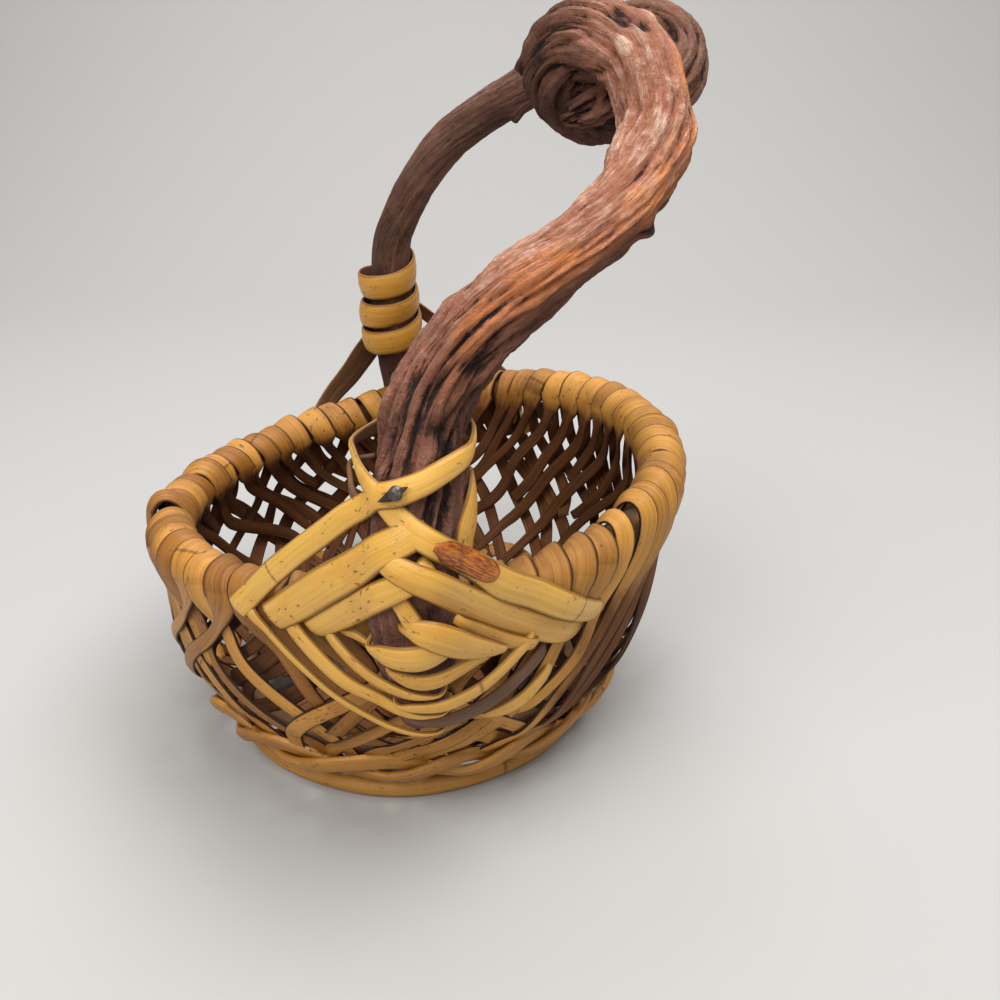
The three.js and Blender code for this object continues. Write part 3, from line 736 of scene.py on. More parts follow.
    def make(self, name: str, ribbons: Sequence[Ribbon], finish: bpy.types.Material, sides: int, seed: float,
             extra: dict[str, np.ndarray] | None = None, **sizes: float) -> bpy.types.Object:
        """Sweeps ribbons into one plain mesh object.

        Args:
            name: The object's name.
            ribbons: The rows of points.
            finish: The material.
            sides: Corners of the section.
            seed: Number that sets the random detail.
            extra: More values by point, by attribute name.
            **sizes: The tree's own sizes, where they aren't the usual ones.

        Returns:
            The object, at the origin.
        """
        path = self.path(name + "_path", ribbons, extra or {})
        piece = link(name, path)
        modifier = piece.modifiers.new("sweep", "NODES")
        modifier.node_group = self.tree
        for key, value in {"Sides": sides, "Seed": float(seed), "Finish": finish, **self.FLOATS, **sizes}.items():
            modifier[self.keys[key]] = value
        graph = bpy.context.evaluated_depsgraph_get()
        mesh = bpy.data.meshes.new_from_object(piece.evaluated_get(graph))
        piece.modifiers.remove(modifier)
        piece.data = mesh
        mesh.name = name
        bpy.data.meshes.remove(path)
        for layer in [a.name for a in mesh.attributes if not a.is_internal and not a.is_required]:
            if layer not in self.KEEP and layer not in self.BUILT_IN:
                mesh.attributes.remove(mesh.attributes[layer])
        face_outwards(mesh)
        return piece


class CaneTree(SweepTree):
    """Sweeps a flat, crowned strip of cane, or a round one where it is as thick as it is wide."""

    KEEP = ("along", "across", "tone", "dull")
    FLOATS = {"Square": 0.7, "Crown": 0.05, "Waver": 0.05, "Ripple": 0.06, "Pith": 0.9}
    PER_SEED = 17.3
    PER_TONE = 83.1
    EDGE_PACE = 55
    SWELL_PACE = 38

    def shape(self, mesh: Sock) -> Sock:
        """Lays the section flat on the path's face.

        Args:
            mesh: The swept mesh.

        Returns:
            The mesh in its shape, with its attributes.
        """
        x, y, width, thick, along, tone = (
            self.named(key) for key in ("turn_x", "turn_y", "width", "thick", "along", "tone"))
        square = self.given["Square"]
        flat = x.sign() * abs(x) ** square
        deep = y.sign() * abs(y) ** square
        seed = self.given["Seed"] * self.PER_SEED + tone * self.PER_TONE
        edge = self.sheet.grain(along * self.EDGE_PACE, x.sign() * 3, seed) - 0.5
        swell = self.sheet.grain(along * self.SWELL_PACE, seed, flat * 0.7) - 0.5
        reach = flat * width * 0.5 * (1 + edge * self.given["Waver"] * 2)
        crown = (1 - flat * flat) * width * self.given["Crown"]
        rise = deep * thick * 0.5 + crown + swell * width * self.given["Ripple"]
        shaped, _ = self.spread(mesh, reach, rise)
        shaped = self.keep(shaped, "dull", self.named("dull").most(deep.step(0.1, -0.3) * self.given["Pith"]))
        return self.keep(shaped, "across", flat)


class StemTree(SweepTree):
    """Sweeps a gnarled stem: long grooves that follow it, strands and flakes of bark between them, and lumps."""

    KEEP = ("along", "relief", "rust", "grey", "dark", "turn_x", "turn_y")
    FLOATS = {"Grooves": 0.2, "Strands": 0.34, "Flakes": 0.18, "Lumps": 0.42}
    GROOVE_SHARPNESS = 13
    LUMP_TURN = 0.9
    LUMP_PACE = 36
    # Changes round and along the stem, detail and roughness of each texture that follows it.
    TEXTURES = (
        (2.2, 1.0, 2.0, 0.5),  # groove
        (4.8, 2.6, 3.0, 0.6),  # strand
        (4.2, 8.0, 3.0, 0.6))  # flake

    def shape(self, mesh: Sock) -> Sock:
        """Pushes the round section in and out.

        Args:
            mesh: The swept mesh.

        Returns:
            The mesh in its shape, with its attributes.
        """
        sheet = self.sheet
        x, y, width, along, rough, flat, rust = (
            self.named(key) for key in ("turn_x", "turn_y", "width", "along", "rough", "flat", "rust"))
        gait = self.named("gait") + self.given["Seed"]
        groove, strand, flake = (sheet.grain(x * turn, y * turn, gait * run, detail, rise) - 0.5
                                 for turn, run, detail, rise in self.TEXTURES)
        lump = sheet.grain(x * self.LUMP_TURN, y * self.LUMP_TURN, along * self.LUMP_PACE) - 0.5
        cut = (1 - abs(groove) * self.GROOVE_SHARPNESS).most(0.0) * self.named("carve")
        push = strand * self.given["Strands"] + flake * self.given["Flakes"] - cut * self.given["Grooves"]
        reach = width * 0.5 * (1 + (push + lump * self.given["Lumps"]) * rough)
        shaped, moved = self.spread(mesh, reach * x * flat, reach * y)
        out = sheet.vector("NORMALIZE", moved)
        rubbed, under = (sheet.vector("DOT_PRODUCT", out, self.named(key, "FLOAT_VECTOR")) for key in ("rub", "under"))
        shaped = self.keep(shaped, "rust", (rubbed + strand * 1.2).step(0.3, 1.05) * rust)
        # Painted shade: the side that faces the under direction darkens, over the dark bark that the stem carries.
        shaped = self.keep(shaped, "dark", (self.named("dark") + (under + strand * 0.8).step(0.1, 0.8)).least(1.0))
        relief = (0.66 - cut * 0.8 + strand * 1.1 + flake * 0.8).most(0.0).least(1.0)
        return self.keep(shaped, "relief", relief)


# ---------------------------------------------------------------- the bowl

@dataclass(frozen=True)
class Bowl:
    """The woven bowl as a surface: an angle round it, and a seat from 0 at the floor to 1 at the rim."""

    rim_radius: float = 95 * MM
    rim_height: float = 91 * MM
    rim_tilt: float = 12 * MM
    rim_saddle: float = 3.5 * MM
    tilt_turn: float = math.radians(-8)
    saddle_turn: float = math.radians(45)
    rim_shift: Span = (2 * MM, 2 * MM)
    waist_shift: Span = (-3.5 * MM, 5 * MM)
    foot_shift: Span = (-2.5 * MM, -5.8 * MM)
    floor_radius: float = 45 * MM
    roundness: float = 5.0
    foot_seat: float = 0.1
    waist_seat: float = 0.35
    lean_step: float = 0.005
    rim_step: float = 0.004
    wrap_radius: float = 7.7 * MM
    origin: Point = (-2.43274 * MM, 0.38022 * MM, 0.42148 * MM)

    def rim_z(self, angle: float) -> float:
        """Height of the rim's middle at an angle."""
        return (self.rim_height + self.rim_tilt * math.cos(angle - self.tilt_turn)
                + self.rim_saddle * math.cos(2 * (angle - self.saddle_turn)))

    def axis(self, seat: float) -> np.ndarray:
        """Middle of the bowl at a seat, in plan."""
        lean = ease(seat, self.foot_seat + self.lean_step, self.waist_seat)
        return np.array([lerp(foot, lerp(waist, rim, seat), lean)
                         for foot, waist, rim in zip(self.foot_shift, self.waist_shift, self.rim_shift)])

    def wall(self, angle: float, seat: float, off: float = 0.0) -> tuple[np.ndarray, np.ndarray]:
        """Finds a place on the wall.

        Args:
            angle: Angle round the bowl.
            seat: From 0 at the floor to 1 at the rim.
            off: Distance outwards from the wall's middle.

        Returns:
            The place and the direction outwards.
        """
        bend = self.rim_z(angle) - self.rim_height
        drop = self.rim_radius - self.floor_radius
        radius = self.rim_radius - drop * (1 - seat) ** self.roundness
        height = self.rim_height * seat + seat * seat * bend
        lean = (self.axis(seat + self.lean_step) - self.axis(seat - self.lean_step)) / (2 * self.lean_step)
        run = (self.roundness * drop * (1 - seat) ** (self.roundness - 1)
               + lean[0] * math.cos(angle) + lean[1] * math.sin(angle))
        climb = self.rim_height + 2 * seat * bend
        size = math.hypot(run, climb)
        out = np.array([climb * math.cos(angle), climb * math.sin(angle), -run]) / size
        axis = self.axis(seat)
        spot = np.array([axis[0] + radius * math.cos(angle), axis[1] + radius * math.sin(angle), height])
        return spot + out * off + np.array(self.origin), out

    def rim(self, angle: float) -> tuple[np.ndarray, np.ndarray, np.ndarray]:
        """Finds the middle of the rim hoop.

        Args:
            angle: Angle round the bowl.

        Returns:
            The place, and the directions outwards and upwards from the hoop.
        """
        centre = self.wall(angle, 1.0)[0]
        along = unit(self.wall(angle + self.rim_step, 1.0)[0] - self.wall(angle - self.rim_step, 1.0)[0])
        out = outward(angle)
        out = unit(out - along * float(out @ along))
        return centre, out, np.cross(out, along)


def settle(piece: bpy.types.Object, slot: Slot, *nodes: str) -> None:
    """Hands a finished piece to the frame and reports it.

    Args:
        piece: The piece.
        slot: The record's slot for the piece; not used.
        *nodes: The solids that it stands for.
    """
    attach(piece, "root")
    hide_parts(*nodes)
    log.info("%s: %d faces, stands for %s", piece.name, len(piece.data.polygons), ", ".join(nodes))


@dataclass(frozen=True)
class Arc:
    """A stretch of the rim, in degrees from the right."""

    start: float
    end: float

    def holds(self, angle: float) -> bool:
        """Whether an angle lies on the stretch."""
        return self.start < math.degrees(math.remainder(angle, FULL_TURN)) < self.end


# The whole rim, then where the front lashing draws the wraps tight, where they lie loose, where some have slipped,
# where they are rubbed, and the two dusty sides.
ALL_ROUND = Arc(-181, 181)
LASHED = Arc(-135, -44)
LOOSE = Arc(-44, -18)
SLIPPED = Arc(-170, -152)
RUBBED = Arc(-66, -46)
LEFT = Arc(-181, -112)
RIGHT = Arc(-18, 60)


@dataclass
class WallWeave:
    """The wall: flat strips that run up the outside, fold over the rim and run down the inside.

    Between two strips lies one more wrap of the same kind, which belongs to the first of them.
    """

    bowl: Bowl
    tree: CaneTree
    finish: bpy.types.Material
    count: int = 30
    sides: int = 12
    seed: int = 4100
    jitter: float = 0.02
    rows: float = 7.0
    tail: float = 0.4
    tail_spread: Span = (-0.6, 1.2)
    short_outer: Row = (3.0, 3.6, 4.4)
    short_inner: Row = (1.6, 2.2, 3.5)
    stray_side: float = 0.1
    stray_share: float = 0.45
    stray_over: float = 1.7 * MM
    # The legs.
    weave_share: float = 0.9
    steepness: float = 1.4
    row_steps: int = 9
    least_steps: int = 10
    strip_width: Span = (5.2 * MM, 7.6 * MM)
    inner_width: Span = (4.2 * MM, 6.4 * MM)
    foot_width: float = 0.86
    foot_widening: Span = (0.05, 0.5)
    outer_opening: float = 0.76
    inner_opening: float = 0.9
    layer: float = 1.7 * MM
    foot_layer: float = -1.6 * MM
    layer_climb: Span = (0.1, 0.42)
    layer_spread: float = 1.0 * MM
    cross_layer: float = 1.5 * MM
    cross_reach: float = 0.9
    short_share: float = 0.8
    outer_dive: float = 5.0 * MM
    inner_dive: float = 1.6 * MM
    dive_rows: float = 0.8
    any_phase: float = 6.3
    sway: Span = (0.3, 1.0)
    sway_share: float = 0.3
    sway_pace: float = 1.2
    sway_start: Span = (0.3, 2.2)
    leg_twist: float = 0.55
    twist_pace: float = 0.8
    skin_dull: float = 0.22
    # Inside legs show the pith, with painted shade that darkens it further below the rim.
    inner_pith_and_shade: Span = (1.28, 0.25)
    inner_fade: Span = (0.88, 1.0)
    # Painted shade low on the right of the outside wall.
    painted_shade_right: float = 1.4
    painted_shade_side: Span = (0.4, 0.88)
    painted_shade_fade: Span = (0.5, 0.95)
    # The wraps over the rim.
    thick: float = 1.1 * MM
    wrap_width: Span = (9.2 * MM, 13.8 * MM)
    wrap_taper: float = 0.12
    wrap_steps: int = 20
    shingle: Span = (0.12, 0.34)
    lead: Span = (0.01, 0.09)
    loose_width: float = 0.72
    loose_roll: float = 1.9
    loose_over: float = 2.0 * MM
    slack_place: Span = (0.35, 0.65)
    slack_length: float = 0.22
    slacks: tuple[tuple[Arc, Span], ...] = ((LASHED, (-1.6, -1.0)), (LOOSE, (1.6, 6.4)), (SLIPPED, (0.6, 4.4)))
    usual_slacks: Row = (0.0, 0.3, 0.6, 0.9, 1.6)
    tones: tuple[tuple[Arc, Span], ...] = ((LOOSE, (0.5, 1.0)), (RIGHT, (0.75, 1.0)), (ALL_ROUND, (0.0, 0.85)))
    rubbed_dull: float = 0.36
    dust: Span = (0.1, 0.55)
    fold_dull: float = 0.3
    fold_fade: Span = (0.8, 1.0)

    @property
    def pitch(self) -> float:
        """Angle from one strip to the next."""
        return FULL_TURN / self.count

    def leg_dull(self, side: int, angle: float, seat: float, skin: float) -> float:
        """Tells how dull a leg is: the pith shows inside, darkened further by painted shade, and the outside takes
        painted shade low on the right.

        Args:
            side: 1 for the outside, -1 for the inside.
            angle: Angle round the bowl.
            seat: From 0 at the floor to 1 at the rim.
            skin: How dull the strip is without the painted shade.

        Returns:
            How dull it is.
        """
        if side < 0:
            # Pith with painted shade inside the bowl.
            return lerp(*self.inner_pith_and_shade, ease(seat, *self.inner_fade))
        # Painted shade low on the right.
        right = ease(math.cos(angle), *self.painted_shade_side)
        return skin + self.painted_shade_right * right * (1 - ease(seat, *self.painted_shade_fade))

    def leg(self, start: float, side: int, hand: int, rng: random.Random, wrap: float, roll: float, rows: float,
            over: float = 0.0) -> list[Row]:
        """Runs one leg of a strip from the rim down the wall.

        Args:
            start: Angle at the rim.
            side: 1 for the outside, -1 for the inside.
            hand: Which way the leg slants.
            rng: The strip's own random numbers.
            wrap: Width at the rim.
            roll: How far the wrap is turned on its own length, so that it lies over its neighbour.
            rows: How many crossings it runs down.
            over: How far it lies over the other strips.

        Returns:
            Rows of place, face, width and dull, from the rim down.
        """
        outside = side > 0
        slant = (self.rows * self.pitch / 2) / self.weave_share ** self.steepness
        phase, sway = rng.uniform(0, self.any_phase), rng.uniform(*self.sway) * self.pitch * self.sway_share
        narrow = rng.uniform(*(self.strip_width if outside else self.inner_width))
        twist, rising = rng.uniform(-self.leg_twist, self.leg_twist), rng.uniform(0.0, self.layer_spread)
        skin = rng.uniform(0.0, self.skin_dull)
        dive = self.outer_dive if outside else self.inner_dive
        out: list[Row] = []
        steps = max(self.least_steps, int(rows * self.row_steps))
        for k in range(steps + 1):
            row = rows * k / steps
            turn = row * self.pitch / 2
            seat = 1 - (turn / slant) ** (1 / self.steepness)
            lifted = ease(seat, self.outer_opening, 1.0)
            wide = lifted if outside else ease(seat, self.inner_opening, 1.0)
            sag = math.sin(phase + row * self.sway_pace) * sway * (1 - lifted) * ease(row, *self.sway_start)
            angle = start + hand * (turn + sag)
            near = max(0.0, 1 - abs(math.remainder(angle + side * math.pi / 2, FULL_TURN)) / self.cross_reach)
            cross = self.cross_layer * ease(near, 0.0, 0.5) * (1 if math.cos(start) > 0 else 0)
            flat = lerp(self.foot_layer, self.layer + rising + cross + over, ease(seat, *self.layer_climb))
            if rows < self.short_share * self.rows:
                flat -= dive * ease(row, rows - self.dive_rows, rows)
            spot, normal = self.bowl.wall(angle, seat, side * lerp(flat, self.bowl.wrap_radius, lifted))
            tilt = lerp(twist * math.sin(phase + row * self.twist_pace), roll, wide)
            low = narrow * lerp(self.foot_width, 1.0, ease(seat, *self.foot_widening))
            out.append((*spot, *unit(normal * side + onward(angle) * tilt), lerp(low, wrap, wide),
                        self.leg_dull(side, angle, seat, skin)))
        return out

    def wrap_dull(self, angle: float, rng: random.Random) -> float:
        """Tells how dull the top of a wrap is: rubbed beside the front lashing, dusty at the left and the right.

        Args:
            angle: Angle round the rim.
            rng: The strip's own random numbers.

        Returns:
            How dull it is.
        """
        if RUBBED.holds(angle):
            return self.rubbed_dull
        return rng.uniform(*self.dust) if LEFT.holds(angle) or RIGHT.holds(angle) else 0.0

    def strip(self, angle: float, rng: random.Random, slack: float, outer_rows: float, inner_rows: float,
              stray: bool) -> Ribbon:
        """Makes one strip with both of its legs and its fold over the rim.

        Args:
            angle: Angle at the rim.
            rng: The strip's own random numbers.
            slack: How far the fold stands off the hoop.
            outer_rows: How many crossings the outside leg runs down.
            inner_rows: How many crossings the inside leg runs down.
            stray: Whether the outside leg slants against the others, over them.

        Returns:
            The strip.
        """
        hand = 1 if math.cos(angle) < 0 else -1
        loose = LOOSE.holds(angle)
        wrap = rng.uniform(*self.wrap_width) * (self.loose_width if loose else 1.0)
        dusty = self.wrap_dull(angle, rng)
        roll = hand * rng.uniform(*self.shingle) * (self.loose_roll if loose else 1.0)
        lead = -hand * rng.uniform(*self.lead)
        way, over = (-hand, self.stray_over) if stray else (hand, self.loose_over if loose else 0.0)
        outer = self.leg(angle - lead / 2, 1, way, rng, wrap, roll, outer_rows, over)
        inner = self.leg(angle + lead / 2, -1, -hand, rng, wrap, roll, inner_rows)
        fold: list[Row] = []
        lift = rng.uniform(*self.slack_place)
        for k in range(1, self.wrap_steps):
            share = k / self.wrap_steps
            turn = share * math.pi
            at = angle + lead * (share - 0.5)
            centre, out, up = self.bowl.rim(at)
            face = out * math.cos(turn) + up * math.sin(turn)
            reach = self.bowl.wrap_radius + slack * math.exp(-((share - lift) / self.slack_length) ** 2)
            dull = max(dusty, self.fold_dull * ease(share, *self.fold_fade))
            fold.append((*(centre + face * reach), *unit(face + onward(at) * roll),
                         wrap * (1 - self.wrap_taper * share), dull))
        tone = rng.uniform(*next(span for arc, span in self.tones if arc.holds(angle)))
        return Ribbon(np.array(outer[::-1] + fold + inner, float), self.thick, tone)

    def slack(self, angle: float, rng: random.Random) -> float:
        """Tells how loosely a wrap lies: drawn tight beside the front lashing, loose to the right of it.

        Args:
            angle: Angle round the rim.
            rng: The strip's own random numbers.

        Returns:
            How far the wrap stands off the hoop.
        """
        for arc, span in self.slacks:
            if arc.holds(angle):
                return rng.uniform(*span) * MM
        return rng.choice(self.usual_slacks) * MM

    def build(self) -> None:
        """Makes every strip."""
        for index in range(self.count):
            rng = random.Random(self.seed + index)
            angle = index * self.pitch + rng.uniform(-self.jitter, self.jitter)
            between = (index + 0.5) * self.pitch + rng.uniform(-self.jitter, self.jitter)
            full = [self.rows + self.tail * rng.uniform(*self.tail_spread) for _ in range(2)]
            stray = math.cos(between) < self.stray_side and rng.random() < self.stray_share
            strips = [self.strip(angle, rng, self.slack(angle, rng), full[0], self.rows + self.tail, False),
                      self.strip(between, rng, self.slack(between, rng),
                                 full[1] if stray else rng.choice([*self.short_outer, full[1]]),
                                 rng.choice([*self.short_inner, self.rows]), stray)]
            piece = self.tree.make(f"wall_cane_{index + 1:02d}", strips, self.finish, self.sides, index,
                                   Square=0.55, Crown=0.045)
            settle(piece, Slot.WALL, f"wall_strip_{index + 1:02d}")


@dataclass
class Hoops:
    """The hoop in the rim, the foot with two strands that twine above it, and the hoop that holds the floor."""

    bowl: Bowl
    tree: CaneTree
    finish: bpy.types.Material
    rim_size: float = 10.4 * MM
    foot_size: float = 7.4 * MM
    floor_size: float = 5.6 * MM
    level_rise: float = 0.55 * MM
    level_waves: tuple[Row, ...] = ((0.35 * MM, 3, 1.0), (0.25 * MM, 7, 0.0))
    low_size: Span = (7.4 * MM, 3.6 * MM)
    high_size: Span = (6.4 * MM, 3.6 * MM)
    twist_count: int = 9
    twist_waves: tuple[Row, ...] = ((0.7, 2, 0.6), (0.4, 5, 0.0))
    twist_seat: float = 0.205
    twist_rise: float = 0.038
    seat_waves: tuple[Row, ...] = ((0.008, 3, 0.0),)
    twist_depth: float = 1.9 * MM
    twist_off: float = 3.0 * MM
    steps: int = 220
    sides: int = 14
    first_seed: int = 40

    def ring(self, place: Place, width: float, thick: float, tone: float, dull: float) -> Ribbon:
        """Makes one closed hoop.

        Args:
            place: Function from an angle to a place and a face direction.
            width: Width of the section.
            thick: Thickness of the section.
            tone: Which length of cane it is.
            dull: How dull it is.

        Returns:
            The hoop.
        """
        rows = []
        for k in range(self.steps):
            spot, face = place(FULL_TURN * k / self.steps)
            rows.append((*spot, *face, width, dull))
        return Ribbon(np.array(rows, float), thick, tone, closed=True)

    def rim(self, angle: float) -> tuple[np.ndarray, np.ndarray]:
        """Place and face direction on the rim hoop."""
        return self.bowl.rim(angle)[:2]

    def level(self, node: str) -> Place:
        """Follows a level hoop's own solid.

        Args:
            node: The solid's name.

        Returns:
            Function from an angle to a place and a face direction.
        """
        low, high = (np.array(corner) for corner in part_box(node))
        middle, half = (low + high) / 2, (high - low) / 2

        def place(angle: float) -> tuple[np.ndarray, np.ndarray]:
            """Finds a place on the hoop.

            Args:
                angle: Angle round the hoop.

            Returns:
                The place and the face direction.
            """
            out = outward(angle)
            reach = half[0] - half[2] + waves(angle, self.level_waves)
            return middle + out * reach + np.array([0.0, 0.0, self.level_rise]), out

        return place

    def strand(self, sign: int) -> Place:
        """Follows one of the two strands that twine round each other outside the wall.

        Args:
            sign: 1 or -1, one for each strand.

        Returns:
            Function from an angle to a place and a face direction.
        """
        def place(angle: float) -> tuple[np.ndarray, np.ndarray]:
            """Finds a place on the strand.

            Args:
                angle: Angle round the bowl.

            Returns:
                The place and the face direction.
            """
            phase = self.twist_count * angle + waves(angle, self.twist_waves)
            seat = self.twist_seat - sign * self.twist_rise * math.cos(phase) + waves(angle, self.seat_waves)
            return self.bowl.wall(angle, seat, self.twist_off + sign * self.twist_depth * math.sin(phase))

        return place

    def build(self) -> None:
        """Makes the five hoops."""
        foot, floor = self.level("foot_hoop"), self.level("floor_hoop")
        # Name, solid and hoop, which has its place, width, thickness, tone and dullness.
        parts = [("rim_core", "rim_hoop", self.ring(self.rim, self.rim_size, self.rim_size, 0.2, 0.55)),
                 ("foot_rod", "foot_hoop", self.ring(foot, self.foot_size, self.foot_size, 0.85, 0.0)),
                 ("foot_band", "foot_strand_low", self.ring(self.strand(1), *self.low_size, 0.62, 0.2)),
                 ("foot_twig", "foot_strand_high", self.ring(self.strand(-1), *self.high_size, 0.4, 0.1)),
                 ("floor_ring", "floor_hoop", self.ring(floor, self.floor_size, self.floor_size, 0.3, 0.7))]
        for index, (name, node, ribbon) in enumerate(parts):
            piece = self.tree.make(name, [ribbon], self.finish, self.sides, self.first_seed + index, Square=0.95,
                                   Crown=0.0, Waver=0.06, Ripple=0.03, Pith=0.0)
            settle(piece, Slot.HOOP, node)


@dataclass
class Floor:
    """Two crossed layers of dull slats under the bowl."""

    tree: CaneTree
    finish: bpy.types.Material
    width: float = 17 * MM
    lath_thick: float = 1.44 * MM
    lath_width: float = 9.18 * MM
    lath_offset: float = 0.29
    lath_bend: float = 0.5 * MM
    dull: Span = (0.85, 1.0)
    steps: int = 40
    sides: int = 10
    per_layer: int = 3
    layers: tuple[tuple[str, float, int], ...] = (("top", math.radians(45), 10), ("low", math.radians(-45), 20))

    def slat(self, node: str, turn: float, rng: random.Random) -> list[Ribbon]:
        """Makes one slat as two laths side by side.

        Args:
            node: The solid that it stands for.
            turn: Direction of the slat, in plan.
            rng: The slat's random numbers.

        Returns:
            The laths.
        """
        low, high = (np.array(corner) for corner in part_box(node))
        middle = (low + high) / 2
        reach = ((high[0] - low[0]) / math.sqrt(2) * 2 - self.width) / 2
        laths = []
        for half in (-1, 1):
            rows = []
            for k in range(self.steps + 1):
                share = k / (self.steps // 2) - 1
                aside = half * self.width * self.lath_offset + self.lath_bend * math.sin(3 * share + half)
                spot = middle + outward(turn) * reach * share + onward(turn) * aside
                rows.append((*spot, 0.0, 0.0, 1.0, self.lath_width, rng.uniform(*self.dull)))
            laths.append(Ribbon(np.array(rows, float), self.lath_thick, rng.random()))
        return laths

    def build(self) -> None:
        """Makes the six slats."""
        for layer, turn, seed in self.layers:
            for index in range(1, self.per_layer + 1):
                node = f"floor_slat_{layer}_{index}"
                rng = random.Random(f"{layer}{index}")
                piece = self.tree.make(f"floor_lath_{layer}_{index}", self.slat(node, turn, rng), self.finish,
                                       self.sides, seed + index, Crown=0.0, Ripple=0.02)
                settle(piece, Slot.WALL, node)


@dataclass
class Handle:
    """The vine: one gnarled stem from the front lashing up through the curl and down to the back lashing.

    The rows of the stem and of the plug in the eye of its curl are place and radius in millimetres. Each mark is a
    place, a direction, a height and a size in millimetres, and how dark it is (below 0 for pale).
    """

    tree: StemTree
    finish: bpy.types.Material
    pitch: float = 1.15 * MM
    sides: int = 112
    seed: float = 3.7
    twist: float = 9.0
    twist_start: float = 70 * MM
    tip_length: float = 6 * MM
    tip_least: float = 0.02
    mark_depth: float = 0.6
    rows: Sequence[Row] = (
        (6.57, -99.22, 50.95, 5.50), (6.57, -110.82, 93.09, 9.50), (6.57, -108.32, 117.09, 13.02),
        (8.64, -100.04, 139.32, 13.61), (11.99, -92.80, 161.66, 12.41), (23.56, -83.75, 177.84, 11.70),
        (39.27, -73.84, 189.70, 11.00), (54.55, -65.65, 199.87, 10.30), (67.19, -57.63, 209.11, 10.50),
        (75.05, -48.15, 217.43, 11.39), (80.11, -36.60, 228.37, 12.20), (75.40, -25.20, 246.00, 11.90),
        (67.20, -17.12, 251.60, 12.60), (57.82, -9.62, 251.75, 13.40), (51.54, -2.12, 244.16, 13.40),
        (55.16, 5.38, 234.67, 12.60), (67.66, 12.88, 228.85, 11.25), (82.82, 20.38, 230.10, 10.74),
        (94.85, 27.88, 238.20, 10.60), (96.60, 35.38, 247.60, 10.40), (87.20, 42.88, 253.80, 9.60),
        (72.82, 50.38, 251.75, 7.80), (40.87, 57.51, 231.34, 7.80), (26.41, 64.59, 221.94, 7.80),
        (12.04, 71.72, 210.60, 7.80), (-0.64, 78.85, 194.72, 7.80), (-9.20, 84.91, 179.33, 7.80),
        (-14.56, 90.00, 166.38, 7.97), (-16.43, 94.33, 152.93, 8.82), (-16.43, 101.34, 122.15, 9.50),
        (-16.43, 114.08, 89.75, 8.00), (-16.43, 106.46, 47.91, 5.50))
    eye: Sequence[Row] = (
        (53.0, -1.0, 229.0, 5.0), (57.0, -2.5, 231.5, 8.0), (62.5, -5.0, 235.0, 9.6), (67.5, -6.0, 239.0, 9.4),
        (72.0, -6.0, 242.0, 6.5), (74.0, -6.0, 243.0, 2.5))
    marks: Sequence[Row] = (
        (75.3, -61.9, 204.1, 0.75, -0.2, -0.63, 3.4, 3.6, 0.5), (39.2, 0.6, 242.6, -0.97, -0.1, 0.1, 2.2, 3.4, 0.3),
        (38.4, 54.5, 222.8, 0.0, -0.3, -0.95, 3.6, 2.6, 0.4), (69.7, -34.4, 252.5, 0.0, -0.9, 0.4, 0.6, 2.0, -2.0),
        (67.3, -24.9, 261.0, -0.1, -0.5, 0.86, -2.6, 2.4, 1.0), (70.1, -28.2, 259.6, -0.1, -0.5, 0.86, -2.6, 2.4, 1.0),
        (75.0, -29.8, 257.9, 0.1, -0.5, 0.86, -2.0, 2.2, 1.0), (14.6, -107.6, 157.8, 0.2, -0.85, 0.45, -3.6, 3.2, 0.9))
    # Values along the stem, by the share of its length.
    by_share: dict[str, tuple[Row, Row]] = field(default_factory=lambda: {
        "rough": ((0, 0.1, 0.15, 0.24, 0.34, 0.62, 0.7, 1), (0.2, 0.35, 1.45, 1.4, 1.1, 1.3, 0.6, 0.45)),
        "grey": ((0, 0.3, 0.42, 0.55, 0.72, 1), (0.15, 0.2, 0.35, 0.75, 0.8, 0.9)),
        "rust": ((0, 0.13, 0.2, 0.38, 0.43, 1), (0.1, 0.2, 1.0, 1.0, 0.1, 0.0)),
        "dark": ((0, 0.1, 0.16, 0.2, 0.225, 0.26, 0.36, 0.387, 0.407, 0.425, 0.45, 0.49, 0.52, 0.68, 1),
                 (0.5, 0.85, 0.85, 0.66, 0.3, 0.04, 0.0, 0.08, 0.42, 0.8, 1.0, 1.0, 0.6, 0.6, 0.66)),
        "carve": ((0, 0.1, 0.14, 0.2, 0.24, 0.38, 0.44, 0.6, 0.7, 1),
                  (0.2, 0.4, 1.0, 0.9, 0.3, 0.25, 0.7, 0.7, 0.25, 0.25))})
    pace: tuple[Row, Row] = ((0, 0.28, 0.38, 0.6, 0.7, 1), (13, 13, 24, 24, 12, 12))
    curled: tuple[Row, Row] = ((0.4, 0.44, 0.62, 0.66), (0, 1, 1, 0))
    # Values by the distance from the front end.
    slim: tuple[Row, Row] = ((0, 0.05, 0.085, 1), (0.84, 0.84, 1.0, 1.0))
    flat: tuple[Row, Row] = ((0, 0.03, 0.05, 0.072, 1), (1.3, 1.7, 1.6, 1.0, 1.0))
    # Directions of the rubbed side and of the side that takes painted shade, by the share of the length.
    rub: Sequence[Row] = ((0.15, 0.5, -0.8, 0.3), (0.22, 0.25, -0.93, 0.25), (0.29, 0.55, -0.8, -0.1),
                          (0.36, 0.98, -0.2, 0.1), (0.42, 0.8, -0.1, 0.6))
    under: Sequence[Row] = ((0.12, 0.9, 0.3, -0.3), (0.2, 0.75, -0.1, -0.65), (0.3, 0.55, 0.1, -0.83),
                            (0.36, 0.2, 0.6, -0.77), (0.42, -0.6, 0.1, -0.79))
